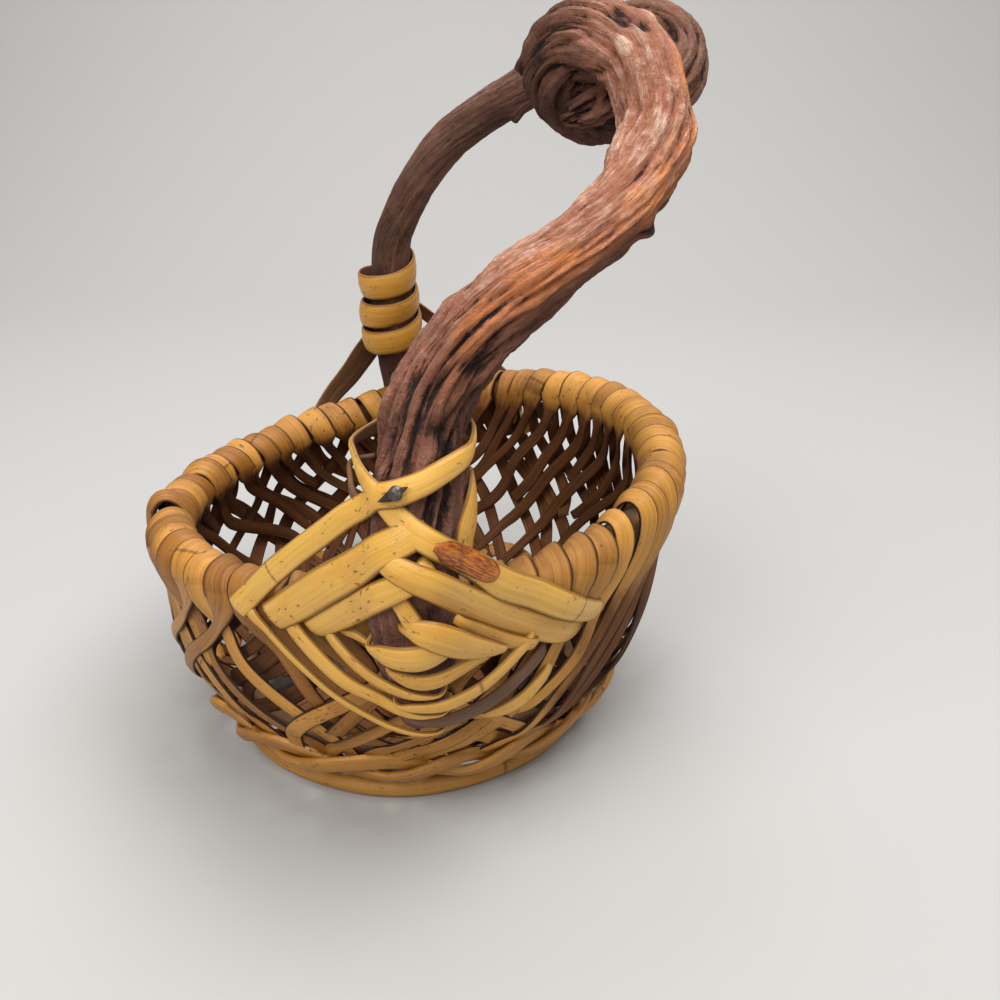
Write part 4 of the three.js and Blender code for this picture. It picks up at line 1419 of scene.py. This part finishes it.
    # The plug's own values; its dark is painted shade from the turn above it.
    plug_values: dict[str, float] = field(default_factory=lambda: {
        "rough": 1.3, "grey": 0.0, "rust": 0.4, "dark": 0.66, "carve": 0.8, "flat": 1.0})
    plug_gait: Span = (40, 41.5)
    plug_face: Point = (0.0, -1.0, 0.0)
    plug_rub: Point = (0.3, -0.9, 0.3)
    plug_under: Point = (-0.5, 0.0, 0.86)

    def mark(self, piece: bpy.types.Object) -> None:
        """Raises the knobs, sinks the pit and the torn groove, and wears the pale spot.

        Args:
            piece: The finished stem.
        """
        mesh = piece.data
        spots = np.empty(len(mesh.vertices) * 3)
        mesh.vertices.foreach_get("co", spots)
        spots = spots.reshape(-1, 3)
        layers = {key: np.empty(len(spots)) for key in ("dark", "relief")}
        for key, values in layers.items():
            mesh.attributes[key].data.foreach_get("value", values)
        for *numbers, height, size, darkness in self.marks:
            place, way = np.array(numbers[:3]) * MM, unit(np.array(numbers[3:], float))
            near = np.exp(-(np.linalg.norm(spots - place, axis=1) / (size * MM)) ** 2)
            spots += np.outer(near * height * MM, way)
            layers["dark"] += near * darkness
            layers["relief"] -= near * darkness * self.mark_depth
        for key, values in layers.items():
            mesh.attributes[key].data.foreach_set("value", np.clip(values, 0.0, 1.0))
        mesh.vertices.foreach_set("co", spots.ravel())
        mesh.update()

    def faces(self, spots: np.ndarray, gone: np.ndarray) -> np.ndarray:
        """Carries a face direction along the stem that slowly turns, so that the ridges wind round it.

        Args:
            spots: The places along the stem.
            gone: Distance from the front end at each of them.

        Returns:
            One direction for each place.
        """
        lay = unit(np.gradient(spots, axis=0))
        faces = np.empty_like(spots)
        face = unit(np.cross(lay[0], np.array([1.0, 0.0, 0.0])))
        for k in range(len(spots)):
            face = unit(face - lay[k] * float(face @ lay[k]))
            turn = max(0.0, gone[k] - self.twist_start) * self.twist
            faces[k] = face * math.cos(turn) + np.cross(lay[k], face) * math.sin(turn)
        return faces

    def stem(self) -> tuple[Ribbon, dict[str, np.ndarray]]:
        """Lays out the stem.

        Returns:
            The stem and its values by point.
        """
        path = curve_through(np.array(self.rows, float) * MM, self.pitch)
        spots, radius = path[:, :3], path[:, 3].copy()
        gone = travelled(spots)
        share = gone / gone[-1]
        tip = np.minimum(gone, gone[-1] - gone)
        radius *= np.sqrt(np.clip(1 - (1 - np.clip(tip / self.tip_length, 0, 1)) ** 2, self.tip_least, 1.0))
        radius *= np.interp(gone, *self.slim)
        values = {key: np.interp(share, *stops) for key, stops in self.by_share.items()}
        values["flat"] = np.interp(gone, *self.flat)
        values["gait"] = np.concatenate([[0.0], np.cumsum(np.diff(gone) * np.interp(share, *self.pace)[1:])])
        values["rub"] = unit(between(share, self.rub))
        inward = np.array(self.eye[len(self.eye) // 2][:3]) * MM - spots
        inward[:, 1] = 0
        curled = np.interp(share, *self.curled)[:, None]
        # Painted shade falls on the under side, and inside the curl on the side that faces the eye.
        values["under"] = unit(unit(between(share, self.under)) * (1 - curled) + unit(inward) * curled)
        points = np.column_stack([spots, self.faces(spots, gone), radius * 2, np.zeros(len(spots))])
        return Ribbon(points), values

    def plug(self) -> tuple[Ribbon, dict[str, np.ndarray]]:
        """Lays out the plug of bark in the eye of the curl.

        Returns:
            The plug and its values by point.
        """
        path = curve_through(np.array(self.eye, float) * MM, self.pitch)
        count = len(path)
        values = {key: np.full(count, value) for key, value in self.plug_values.items()}
        values["gait"] = np.linspace(*self.plug_gait, count)
        values["rub"], values["under"] = (np.tile(way, (count, 1)) for way in (self.plug_rub, self.plug_under))
        points = np.column_stack([path[:, :3], np.tile(self.plug_face, (count, 1)), path[:, 3] * 2, np.zeros(count)])
        return Ribbon(points), values

    def build(self) -> None:
        """Sweeps the stem with its plug, then marks it."""
        (stem, stem_values), (plug, plug_values) = self.stem(), self.plug()
        extra = {key: np.concatenate([values, plug_values[key]]) for key, values in stem_values.items()}
        piece = self.tree.make("handle_stem", [stem, plug], self.finish, self.sides, self.seed, extra=extra)
        self.mark(piece)
        settle(piece, Slot.BARK, "handle_vine")


@dataclass
class FrontLashing:
    """The crossed lashing that ties the handle to the front of the rim, and its nail.

    Each strip has a tone, a dullness and rows of place, face direction and width in millimetres. A tone above 1 is a
    patch that lies on the strip before it.
    """

    tree: CaneTree
    finish: bpy.types.Material
    iron: bpy.types.Material
    thick: float = 1.7 * MM
    lift: float = 0.7 * MM
    patch_tone: float = 1.0
    patch_thick: float = 0.85 * MM
    patch_lift: float = 1.2 * MM
    sides: int = 12
    first_seed: int = 60
    nail_radius: float = 2.2 * MM
    nail_place: Point = (3.6 * MM, -118.7 * MM, 144.0 * MM)
    nail_face: Point = (-0.33, -0.87, 0.36)
    nail_sides: int = 24
    nail_dents: Row = (0.05, 3, 0.0)
    # Width and height along the nail from the top of its head to its point, in radii.
    nail_outline: Sequence[Span] = (
        (0.0, 0.42), (0.4, 0.4), (0.75, 0.32), (0.95, 0.16), (1.0, 0.0), (0.96, -0.12), (0.45, -0.2), (0.42, -3.0),
        (0.0, -3.6))
    strips: dict[str, list[tuple[float, float, list[Row]]]] = field(default_factory=lambda: {
        "front_lash_loop": [(0.72, 0.0, [
            (-51.0, -88.8, 89.7, -.49, -.87, -.02, 8.5), (-44.3, -91.6, 97.6, -.52, -.86, .02, 8.4),
            (-37.6, -94.8, 105.5, -.54, -.84, .07, 8.4), (-29.1, -99.0, 114.4, -.57, -.81, .13, 8.0),
            (-18.5, -103.8, 124.7, -.6, -.77, .2, 8.0), (-11.5, -107.0, 131.4, -.62, -.75, .25, 8.0),
            (-5.5, -109.8, 136.1, -.63, -.72, .29, 7.8), (-1.9, -112.7, 140.0, -.64, -.7, .32, 7.8),
            (3.6, -115.3, 142.4, -.3, -.89, .36, 8.0), (10.2, -114.2, 144.7, .09, -.95, .29, 7.6),
            (16.3, -110.8, 147.3, .48, -.85, .21, 7.4), (20.8, -106.7, 149.0, .76, -.65, .1, 7.1),
            (23.0, -100.6, 149.2, .96, -.29, -.05, 6.7), (22.8, -88.8, 151.0, .87, .5, 0, 6.4),
            (17.6, -83.6, 152.0, .5, .87, 0, 6.4), (10.5, -81.7, 152.5, 0, 1, 0, 6.4),
            (3.4, -83.6, 152.0, -.5, .87, 0, 6.4), (-3.8, -87.4, 150.5, -.87, .5, 0, 5.3),
            (-10.2, -92.0, 148.2, -.96, .27, .06, 3.4), (-9.0, -98.0, 146.4, -.99, .03, .14, 3.6),
            (-7.0, -104.0, 144.4, -.94, -.26, .23, 4.6), (-4.0, -110.0, 142.5, -.77, -.58, .29, 5.9),
            (-0.1, -113.0, 139.2, -.55, -.77, .34, 7.4), (3.1, -115.2, 136.0, -.32, -.88, .36, 7.6),
            (7.6, -117.8, 132.1, .01, -.94, .35, 8.0), (13.2, -118.2, 128.0, .42, -.86, .28, 8.1),
            (18.2, -112.8, 121.8, .46, -.86, .22, 8.3), (25.4, -107.4, 114.5, .51, -.85, .14, 9.1),
            (33.0, -102.1, 106.0, .56, -.83, .05, 10.7), (42.3, -94.1, 98.0, .6, -.8, -.04, 10.8),
            (53.5, -86.0, 88.2, .64, -.75, -.14, 10.1), (60.6, -77.2, 81.1, .67, -.71, -.21, 9.6),
            (65.9, -67.4, 76.2, .68, -.68, -.26, 8.8)]), (1.6, 0.0, [
            (13.3, -118.9, 127.8, .43, -.86, .26, 2.4), (15.9, -116.6, 125.3, .45, -.86, .24, 6.2),
            (20.2, -112.6, 121.1, .47, -.86, .21, 7.4), (25.8, -108.4, 115.4, .5, -.85, .15, 7.4),
            (29.9, -105.2, 111.2, .53, -.84, .1, 6.0), (30.8, -104.5, 110.3, .53, -.84, .1, 3.4)]), (2.4, 0.0, [
            (-0.7, -115.9, 140.2, -.5, -.8, .34, 0.3), (0.8, -116.6, 141.3, -.4, -.85, .36, 1.8),
            (3.1, -117.2, 142.9, -.28, -.89, .36, 3.4), (5.4, -117.0, 144.3, -.1, -.93, .35, 1.8),
            (7.0, -116.6, 145.2, .05, -.95, .3, 0.3)])],
        "front_lash_left_high": [(0.6, 0.0, [
            (-38.6, -94.7, 89.9, -.36, -.93, -.03, 10.8), (-29.6, -99.8, 98.0, -.41, -.91, .05, 12.2),
            (-19.1, -106.8, 108.4, -.48, -.87, .15, 12.1), (-8.7, -113.0, 117.7, -.53, -.81, .25, 11.6),
            (-1.4, -118.0, 125.6, -.57, -.75, .33, 10.8), (4.6, -118.7, 129.4, -.19, -.91, .36, 10.1),
            (8.5, -117.5, 131.7, .08, -.94, .34, 10.1)]), (0.42, 0.1, [
            (21.6, -92.5, 138.3, .95, .3, -.1, 6.3), (23.2, -97.5, 136.5, .97, -.2, 0, 6.6),
            (23.0, -101.5, 132.4, .93, -.37, .05, 8.9), (22.0, -104.5, 127.8, .86, -.5, .08, 10.5),
            (21.0, -106.5, 122.8, .84, -.53, .1, 9.6), (20.6, -108.0, 117.4, .84, -.53, .1, 7.9)])],
        "front_lash_left_low": [(0.66, 0.0, [
            (-25.6, -98.5, 88.2, -.22, -.96, -.15, 7.9), (-16.4, -106.2, 97.0, -.4, -.91, -.07, 9.4),
            (-9.4, -112.6, 104.1, -.54, -.84, 0, 9.2), (-2.8, -119.4, 111.5, -.67, -.74, .08, 8.9),
            (3.7, -122.0, 116.4, -.21, -.97, .1, 8.7), (8.1, -121.3, 118.6, .12, -.99, .12, 8.4),
            (11.1, -120.7, 120.6, .33, -.91, .26, 8.0)]), (0.3, 0.75, [
            (-10.4, -96.0, 143.3, -.98, .17, .09, 1.8), (-10.1, -101.0, 140.5, -.99, -.03, .11, 3.1),
            (-8.7, -106.0, 137.1, -.96, -.23, .17, 4.1)])],
        "front_lash_right_high": [(0.5, 0.0, [
            (-0.5, -118.2, 123.2, -.53, -.78, .34, 7.2), (2.9, -121.4, 122.2, -.25, -.9, .35, 8.1),
            (7.6, -122.4, 119.9, .07, -.98, .19, 9.0), (13.4, -121.2, 116.3, .47, -.88, .09, 9.5),
            (21.0, -112.3, 106.5, .51, -.86, .04, 10.2), (32.9, -100.1, 93.3, .56, -.83, -.03, 10.4),
            (45.8, -87.5, 80.8, .6, -.79, -.1, 10.2), (54.4, -78.7, 74.0, .63, -.77, -.14, 9.3),
            (59.1, -69.1, 70.7, .65, -.75, -.17, 6.7)])],
        "front_lash_right_low": [(0.56, 0.0, [
            (4.8, -120.2, 101.5, -.35, -.93, .05, 3.4), (7.6, -122.4, 102.1, -.1, -.98, .1, 7.4),
            (11.6, -123.2, 101.4, .1, -.98, .1, 9.2), (16.9, -121.0, 97.8, .4, -.91, .08, 9.8),
            (22.7, -115.0, 91.8, .5, -.86, 0, 8.6), (28.3, -109.0, 87.1, .5, -.87, -.1, 6.4),
            (33.5, -102.0, 83.1, .45, -.88, -.15, 2.4)]), (0.62, 0.0, [
            (3.1, -119.6, 112.0, -.5, -.82, .2, 6.0), (5.4, -121.2, 108.6, -.3, -.94, .1, 6.4),
            (7.3, -121.6, 104.5, -.05, -.99, .05, 6.2), (9.1, -121.0, 100.0, .1, -.98, 0, 5.4)]), (0.3, 0.25, [
            (19.9, -114.4, 100.6, .45, -.88, .05, 3.6), (25.6, -109.0, 93.7, .48, -.87, 0, 5.2),
            (31.6, -103.0, 87.1, .5, -.86, -.05, 5.4), (37.3, -97.4, 81.9, .52, -.84, -.1, 5.2),
            (42.6, -92.0, 77.9, .52, -.84, -.1, 4.8)])],
        "front_lash_sling_1": [(0.64, 0.0, [
            (-6.3, -115.4, 92.4, -.6, -.78, -.1, 1.6), (-2.1, -119.6, 92.5, -.4, -.9, -.1, 7.0),
            (3.1, -121.8, 92.4, -.1, -.98, -.15, 9.4), (8.4, -122.2, 92.8, .1, -.97, -.15, 10.4),
            (13.3, -121.0, 93.8, .4, -.9, -.15, 9.4), (16.7, -118.0, 94.2, .65, -.75, -.1, 7.0)]), (0.4, 0.1, [
            (-16.4, -101.6, 89.5, -.3, -.93, -.15, 1.2), (-11.5, -105.5, 90.0, -.35, -.92, -.15, 3.6),
            (-6.3, -108.6, 89.5, -.4, -.9, -.15, 1.2)])],
        "front_lash_sling_2": [(0.45, 0.1, [
            (-1.0, -113.4, 83.0, -.5, -.84, -.2, 1.8), (3.5, -116.8, 81.9, -.25, -.95, -.2, 5.6),
            (9.0, -118.6, 81.8, 0, -.98, -.2, 6.4), (14.3, -118.0, 82.6, .25, -.94, -.2, 6.4),
            (19.3, -115.0, 83.7, .45, -.86, -.2, 6.0), (24.4, -110.5, 84.3, .55, -.81, -.2, 5.4),
            (28.6, -105.0, 83.3, .5, -.84, -.2, 4.4)])],
        "front_lash_sling_3": [(0.5, 0.0, [
            (-20.3, -101.0, 87.6, -.45, -.87, -.2, 5.0), (-14.1, -106.0, 82.1, -.45, -.87, -.2, 5.6),
            (-6.1, -110.5, 77.4, -.4, -.9, -.2, 5.2), (1.7, -113.6, 74.8, -.2, -.96, -.2, 4.4),
            (7.9, -115.0, 74.0, 0, -.98, -.2, 2.9), (14.0, -114.4, 74.5, .3, -.93, -.2, 0.8)]), (0.58, 0.0, [
            (0.9, -111.2, 67.9, -.3, -.94, -.2, 1.2), (5.0, -112.2, 67.7, -.1, -.97, -.2, 3.6),
            (13.8, -113.4, 69.2, .1, -.97, -.2, 5.0), (19.9, -112.4, 71.3, .35, -.92, -.2, 5.3),
            (26.1, -109.0, 73.2, .5, -.84, -.2, 5.4), (32.3, -103.5, 75.7, .5, -.84, -.2, 5.5),
            (38.6, -96.5, 78.8, .5, -.84, -.2, 5.4), (41.2, -93.5, 80.4, .5, -.84, -.2, 5.2)])],
        "front_lash_sling_4": [(0.55, 0.0, [
            (-32.7, -96.5, 87.6, -.29, -.95, -.15, 6.0), (-27.9, -99.6, 82.3, -.21, -.96, -.17, 6.4),
            (-21.3, -103.1, 76.4, -.11, -.98, -.19, 6.2), (-14.9, -105.6, 71.9, -.02, -.98, -.21, 6.0),
            (-5.4, -107.6, 67.8, .05, -.97, -.22, 5.2), (0.9, -109.2, 64.5, .14, -.96, -.24, 4.0),
            (5.9, -110.2, 63.2, .2, -.95, -.25, 2.8), (10.4, -110.8, 63.6, .26, -.93, -.26, 1.6),
            (14.8, -110.6, 64.8, .3, -.92, -.26, 0.6)]), (0.3, 0.9, [
            (4.4, -108.2, 60.3, .1, -.96, -.26, 1.6), (10.1, -107.8, 58.6, .15, -.95, -.26, 4.6),
            (15.4, -106.6, 58.6, .21, -.94, -.26, 5.6), (21.1, -104.2, 59.4, .26, -.93, -.25, 6.2),
            (27.4, -100.6, 60.6, .32, -.92, -.24, 6.4), (33.9, -96.0, 63.1, .38, -.89, -.24, 6.5),
            (40.5, -90.0, 66.4, .43, -.87, -.23, 6.2), (45.5, -84.6, 69.8, .47, -.85, -.22, 5.8)])],
        "front_lash_sling_5": [(0.52, 0.05, [
            (-46.4, -91.2, 89.3, -.44, -.89, -.07, 4.6), (-41.2, -93.5, 83.7, -.46, -.88, -.09, 3.1),
            (-35.1, -96.3, 77.4, -.49, -.87, -.11, 3.0), (-28.9, -98.6, 71.7, -.49, -.86, -.13, 3.0),
            (-22.7, -100.7, 66.4, -.45, -.88, -.15, 2.9), (-16.4, -102.3, 62.0, -.4, -.9, -.16, 2.8),
            (-4.7, -103.9, 55.2, -.25, -.94, -.19, 2.5), (0.1, -104.9, 53.7, -.15, -.96, -.2, 2.3),
            (5.0, -105.8, 52.9, -.1, -.96, -.21, 1.9), (9.2, -106.2, 53.0, 0, -.97, -.21, 1.3),
            (13.4, -106.0, 54.2, .1, -.97, -.21, 0.5)]), (0.6, 0.05, [
            (25.3, -92.8, 50.7, .28, -.94, -.21, 0.8), (29.6, -92.0, 50.7, .32, -.93, -.2, 4.0),
            (34.2, -90.4, 51.3, .38, -.91, -.18, 6.0), (39.0, -88.2, 53.1, .43, -.89, -.16, 6.4),
            (43.7, -85.3, 56.6, .48, -.86, -.15, 5.8), (47.9, -81.5, 60.8, .52, -.84, -.13, 4.4)])],
    })

    def nail(self) -> None:
        """Turns the nail's domed head and shank."""
        face = unit(np.array(self.nail_face))
        side = unit(np.cross(face, np.array([0.0, 0.0, 1.0])))
        over = np.cross(face, side)
        count = self.nail_sides
        work = bmesh.new()
        rings = []
        for wide, high in self.nail_outline:
            middle = np.array(self.nail_place) + face * high * self.nail_radius
            if wide == 0:
                rings.append([work.verts.new(middle)])
                continue
            rings.append([work.verts.new(middle + (side * math.cos(t) + over * math.sin(t)) * wide * self.nail_radius
                                         * (1 + waves(t, [self.nail_dents])))
                          for t in (FULL_TURN * k / count for k in range(count))])
        for first, second in zip(rings, rings[1:]):
            for k in range(count):
                corners = [first[k % len(first)], first[(k + 1) % len(first)],
                           second[(k + 1) % len(second)], second[k % len(second)]]
                work.faces.new(list(dict.fromkeys(corners)))
        bmesh.ops.recalc_face_normals(work, faces=work.faces[:])
        mesh = bpy.data.meshes.new("lash_nail")
        work.to_mesh(mesh)
        work.free()
        shade_smooth(mesh)
        mesh.materials.append(self.iron)
        settle(link("lash_nail", mesh), Slot.IRON, "front_lash_nail")

    def build(self) -> None:
        """Makes each strip of the lashing, then the nail."""
        for index, (node, parts) in enumerate(self.strips.items()):
            ribbons = [Ribbon.through(rows, dull, self.patch_thick, tone, self.patch_lift)
                       if tone > self.patch_tone else
                       Ribbon.through(Ribbon.tucked(rows), dull, self.thick, tone, self.lift)
                       for tone, dull, rows in parts]
            piece = self.tree.make(node.replace("front_lash", "front_tie"), ribbons, self.finish, self.sides,
                                   self.first_seed + index, Crown=0.07, Waver=0.04, Ripple=0.05)
            settle(piece, Slot.LASH, node)
        self.nail()


@dataclass
class BackLashing:
    """The turns that tie the handle to the back of the rim.

    Each strip has a tone, a dullness and rows of place, face direction and width in millimetres.
    """

    tree: CaneTree
    finish: bpy.types.Material
    thick: float = 1.5 * MM
    sides: int = 12
    crown: float = 0.06
    first_seed: int = 90
    collar_seed: int = 80
    collar_turns: float = 3.0
    collar_steps: int = 56
    collar_pitch: float = 14 * MM
    collar_width: float = 11.6 * MM
    collar_radius: float = 9.4
    collar_start: float = math.radians(100)
    collar_ease: float = 1.2
    collar_gape: float = 3.4
    collar_wander: float = 0.6
    collar_tilt: float = 0.12
    collar_tone: float = 0.22
    collar_dull: float = 0.08
    collar_foot: Point = (-16.43 * MM, 103.0 * MM, 115.5 * MM)
    collar_top: Point = (-16.43 * MM, 93.7 * MM, 155.0 * MM)
    strips: dict[str, tuple[float, float, list[Row]]] = field(default_factory=lambda: {
        "back_lash_left_high": (0.5, 0.2, [
            (-24.5, 113.5, 136.0, -.5, .8, .3, 8.5), (-16.4, 115.5, 133.0, 0, .95, .3, 9.0),
            (-6.5, 113.0, 128.5, .6, .75, .25, 9.5), (12.3, 111.9, 113.4, .55, .8, .19, 10.0),
            (32.8, 106.9, 97.5, .5, .85, .11, 10.0), (43.6, 100.3, 89.6, .55, .82, .07, 9.5),
            (56.5, 88.6, 81.7, .56, .83, -.01, 8.5)]),
        "back_lash_left_low": (0.6, 0.2, [
            (-19.4, 125.2, 96.5, -.24, .94, .23, 7.0), (-15.1, 125.8, 94.5, .10, .97, .23, 7.0),
            (-7.5, 122.7, 88.7, .72, .69, .08, 7.0), (3.7, 120.6, 87.3, .67, .74, .07, 7.0),
            (14.4, 117.2, 85.9, .61, .79, .05, 7.0), (33.4, 106.0, 83.2, .48, .88, .02, 7.0),
            (41.4, 98.7, 81.8, .41, .91, 0, 7.0)]),
        "back_lash_right_high": (0.4, 0.2, [
            (-8.1, 115.9, 126.3, .34, .87, .36, 9.0), (-16.4, 117.6, 123.4, 0, .92, .38, 11.0),
            (-24.5, 114.0, 117.4, -.55, .8, .18, 13.0), (-31.6, 110.3, 108.8, -.6, .77, .12, 14.0),
            (-39.1, 106.8, 99.1, -.6, .78, .11, 13.0), (-47.3, 101.0, 90.5, -.61, .79, .09, 11.0),
            (-52.8, 94.0, 83.7, -.50, .86, .08, 9.0)]),
        "back_lash_sling_1": (0.55, 0.2, [
            (20.6, 104.2, 84.9, .21, .98, 0, 5.2), (4.9, 105.9, 80.8, .06, 1, 0, 5.2),
            (-7.2, 119.1, 78.7, -.06, 1, 0, 5.2), (-13.8, 122.4, 78.1, -.12, .99, 0, 5.2),
            (-18.8, 123.6, 85.2, -.17, .98, 0, 5.2)]),
        "back_lash_sling_2": (0.45, 0.2, [
            (33.8, 99.2, 80.8, .34, .94, 0, 5.2), (11.9, 103.4, 73.7, .13, .99, 0, 5.2),
            (-5.1, 114.7, 69.9, -.03, 1, 0, 5.2), (-14.3, 120.2, 69.0, -.12, .99, 0, 5.2),
            (-23.5, 119.6, 73.9, -.22, .98, 0, 5.2), (-31.4, 114.1, 81.3, -.29, .96, 0, 5.2)]),
        "back_lash_sling_3": (0.5, 0.2, [
            (46.2, 92.8, 77.7, .47, .88, 0, 5.2), (18.7, 101.3, 67.0, .21, .98, 0, 5.2),
            (-3.1, 109.4, 61.3, -.01, 1, 0, 5.2), (-15.0, 117.5, 59.8, -.13, .99, 0, 5.2),
            (-20.8, 117.2, 61.4, -.19, .98, 0, 5.2), (-31.1, 110.0, 67.3, -.29, .96, 0, 5.2),
            (-45.2, 97.8, 78.4, -.42, .91, 0, 5.2)]),
    })

    def collar(self) -> Ribbon:
        """Winds the collar, a little loose on the left.

        Returns:
            The wound strip.
        """
        foot, top = np.array(self.collar_foot), np.array(self.collar_top)
        lay = unit(top - foot)
        right = np.array([1.0, 0.0, 0.0])
        back = unit(np.cross(lay, right))
        rows = []
        steps = int(self.collar_turns * self.collar_steps)
        for k in range(steps + 1):
            share = k / steps
            turn = share * self.collar_turns * FULL_TURN + self.collar_start
            out = right * math.cos(turn) + back * math.sin(turn)
            loose = (self.collar_ease + self.collar_gape * max(0.0, -math.cos(turn)) ** 2
                     + self.collar_wander * math.sin(5 * share))
            middle = foot + lay * (share * self.collar_turns * self.collar_pitch)
            tilt = lay * self.collar_tilt * math.sin(turn * 1.5)
            rows.append((*(middle + out * (self.collar_radius + loose) * MM), *unit(out + tilt), self.collar_width,
                         self.collar_dull))
        return Ribbon(np.array(rows, float), self.thick, self.collar_tone)

    def build(self) -> None:
        """Makes the collar and the strips below it."""
        piece = self.tree.make("back_tie_collar", [self.collar()], self.finish, self.sides, self.collar_seed,
                               Crown=self.crown)
        settle(piece, Slot.LASH, "back_lash_collar")
        for index, (node, (tone, dull, rows)) in enumerate(self.strips.items()):
            ribbon = Ribbon.through(Ribbon.tucked(rows), dull, self.thick, tone)
            piece = self.tree.make(node.replace("back_lash", "back_tie"), [ribbon], self.finish, self.sides,
                                   self.first_seed + index, Crown=self.crown)
            settle(piece, Slot.LASH, node)


# ---------------------------------------------------------------- the studio

@dataclass(frozen=True)
class Lamp:
    """One soft light that looks at the basket."""

    name: str
    place: Point
    size: float
    power: float
    colour: Point
    target: Point = (0.0, 0.0, 0.12)

    def hang(self) -> None:
        """Hangs the light."""
        lamp = bpy.data.lights.new(self.name, "AREA")
        lamp.size, lamp.energy, lamp.color = self.size, self.power, self.colour
        holder = link(self.name, lamp)
        way = np.array(self.target) - np.array(self.place)
        aside = math.hypot(way[0], way[1])
        holder.location = self.place
        holder.rotation_euler = (math.atan2(aside, -way[2]), 0.0, math.atan2(-way[0], way[1]) if aside else 0.0)


@dataclass
class Studio:
    """Pale floor that runs up into a backdrop, soft lights and the camera."""

    pale: Colour = paint(176, 176, 175)
    paper_rough: float = 0.9
    half_width: float = 4.0
    front: float = -3.0
    bend_start: float = 0.55
    bend_radius: float = 0.5
    bend_steps: int = 14
    bend_first: float = 0.1
    top: float = 3.0
    lamps: Sequence[Lamp] = (
        Lamp("window", (-0.6, -0.75, 1.05), 0.9, 13.0, (1.0, 0.98, 0.95)),
        Lamp("sky", (0.35, 0.0, 1.25), 1.0, 19.0, (1.0, 0.98, 0.96)),
        Lamp("fill", (0.3, -0.95, 0.8), 0.5, 2.4, (1.0, 0.97, 0.93)),
        Lamp("back", (-0.2, 0.7, 0.9), 0.6, 3.0, (1.0, 1.0, 1.0)))
    world_colour: Colour = (1.0, 0.98, 0.95, 1.0)
    world_strength: float = 0.13
    camera_place: Point = (0.032267, -0.384220, 0.272721)
    camera_pitch: float = math.radians(63.8)
    lens: float = 38.88
    sensor_width: float = 36.0
    clip_start: float = 0.01

    def floor(self) -> None:
        """Makes the floor and backdrop in one sweep."""
        start, size = self.bend_start, self.bend_radius
        outline = [(self.front, 0.0), (start, 0.0)]
        outline += [(start + size * math.sin(t), size - size * math.cos(t))
                    for t in np.linspace(self.bend_first, math.pi / 2, self.bend_steps)]
        outline += [(start + size, self.top)]
        verts = [(x, y, z) for x in (-self.half_width, self.half_width) for y, z in outline]
        count = len(outline)
        faces = [(k, count + k, count + k + 1, k + 1) for k in range(count - 1)]
        mesh = bpy.data.meshes.new("studio_floor")
        mesh.from_pydata(verts, [], faces)
        shade_smooth(mesh)
        paper = bpy.data.materials.new("studio_paper")
        paper.use_nodes = True
        shader = paper.node_tree.nodes["Principled BSDF"]
        shader.inputs["Base Color"].default_value = self.pale
        shader.inputs["Roughness"].default_value = self.paper_rough
        mesh.materials.append(paper)
        piece = link("studio_floor", mesh)

    def build(self) -> None:
        """Sets up the floor, the lights, the world and the camera."""
        self.floor()
        for lamp in self.lamps:
            lamp.hang()
        world = bpy.data.worlds.new("studio")
        world.use_nodes = True
        sky = world.node_tree.nodes["Background"]
        sky.inputs["Color"].default_value = self.world_colour
        sky.inputs["Strength"].default_value = self.world_strength
        bpy.context.scene.world = world
        camera = bpy.data.cameras.new("camera")
        camera.sensor_fit, camera.sensor_width = "HORIZONTAL", self.sensor_width
        camera.lens, camera.clip_start = self.lens, self.clip_start
        holder = link("camera", camera)
        holder.location = self.camera_place
        holder.rotation_euler = (self.camera_pitch, 0.0, 0.0)
        bpy.context.scene.camera = holder
        bpy.context.scene.view_settings.view_transform = "Standard"


WALL_CANE = CaneFinish(
    "wall cane", pale=paint(210, 152, 72), deep=paint(132, 82, 34), edge=paint(40, 21, 10), speck=paint(66, 36, 18),
    dull_pale=paint(148, 94, 50), dull_deep=paint(72, 39, 17), gloss=0.4, edge_shade=1.0, streak=0.4, shine=0.22)
HOOP_CANE = CaneFinish(
    "hoop cane", pale=paint(196, 140, 58), deep=paint(130, 80, 30), edge=paint(110, 70, 28), speck=paint(78, 46, 24),
    dull_pale=paint(122, 84, 46), dull_deep=paint(60, 38, 22), gloss=0.4, ring_pitch=0.16, edge_shade=0.0)
LASH_CANE = CaneFinish(
    "lashing cane", pale=paint(230, 184, 88), deep=paint(198, 134, 46), edge=paint(104, 60, 20),
    speck=paint(96, 56, 24), dull_pale=paint(146, 106, 72), dull_deep=paint(84, 56, 40), gloss=0.33)


def main() -> None:
    """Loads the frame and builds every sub-assembly in order."""
    logging.basicConfig(level=logging.INFO, format="%(name)s %(message)s")
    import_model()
    Studio().build()
    bowl = Bowl()
    cane = CaneTree("cane strip")
    wall, hoop, lash = (finish.material() for finish in (WALL_CANE, HOOP_CANE, LASH_CANE))
    Hoops(bowl, cane, hoop).build()
    WallWeave(bowl, cane, wall).build()
    Floor(cane, wall).build()
    Handle(StemTree("vine stem"), BarkFinish("vine bark").material()).build()
    FrontLashing(cane, lash, IronFinish("nail iron").material()).build()
    BackLashing(cane, lash).build()


if __name__ == "__main__":
    main()
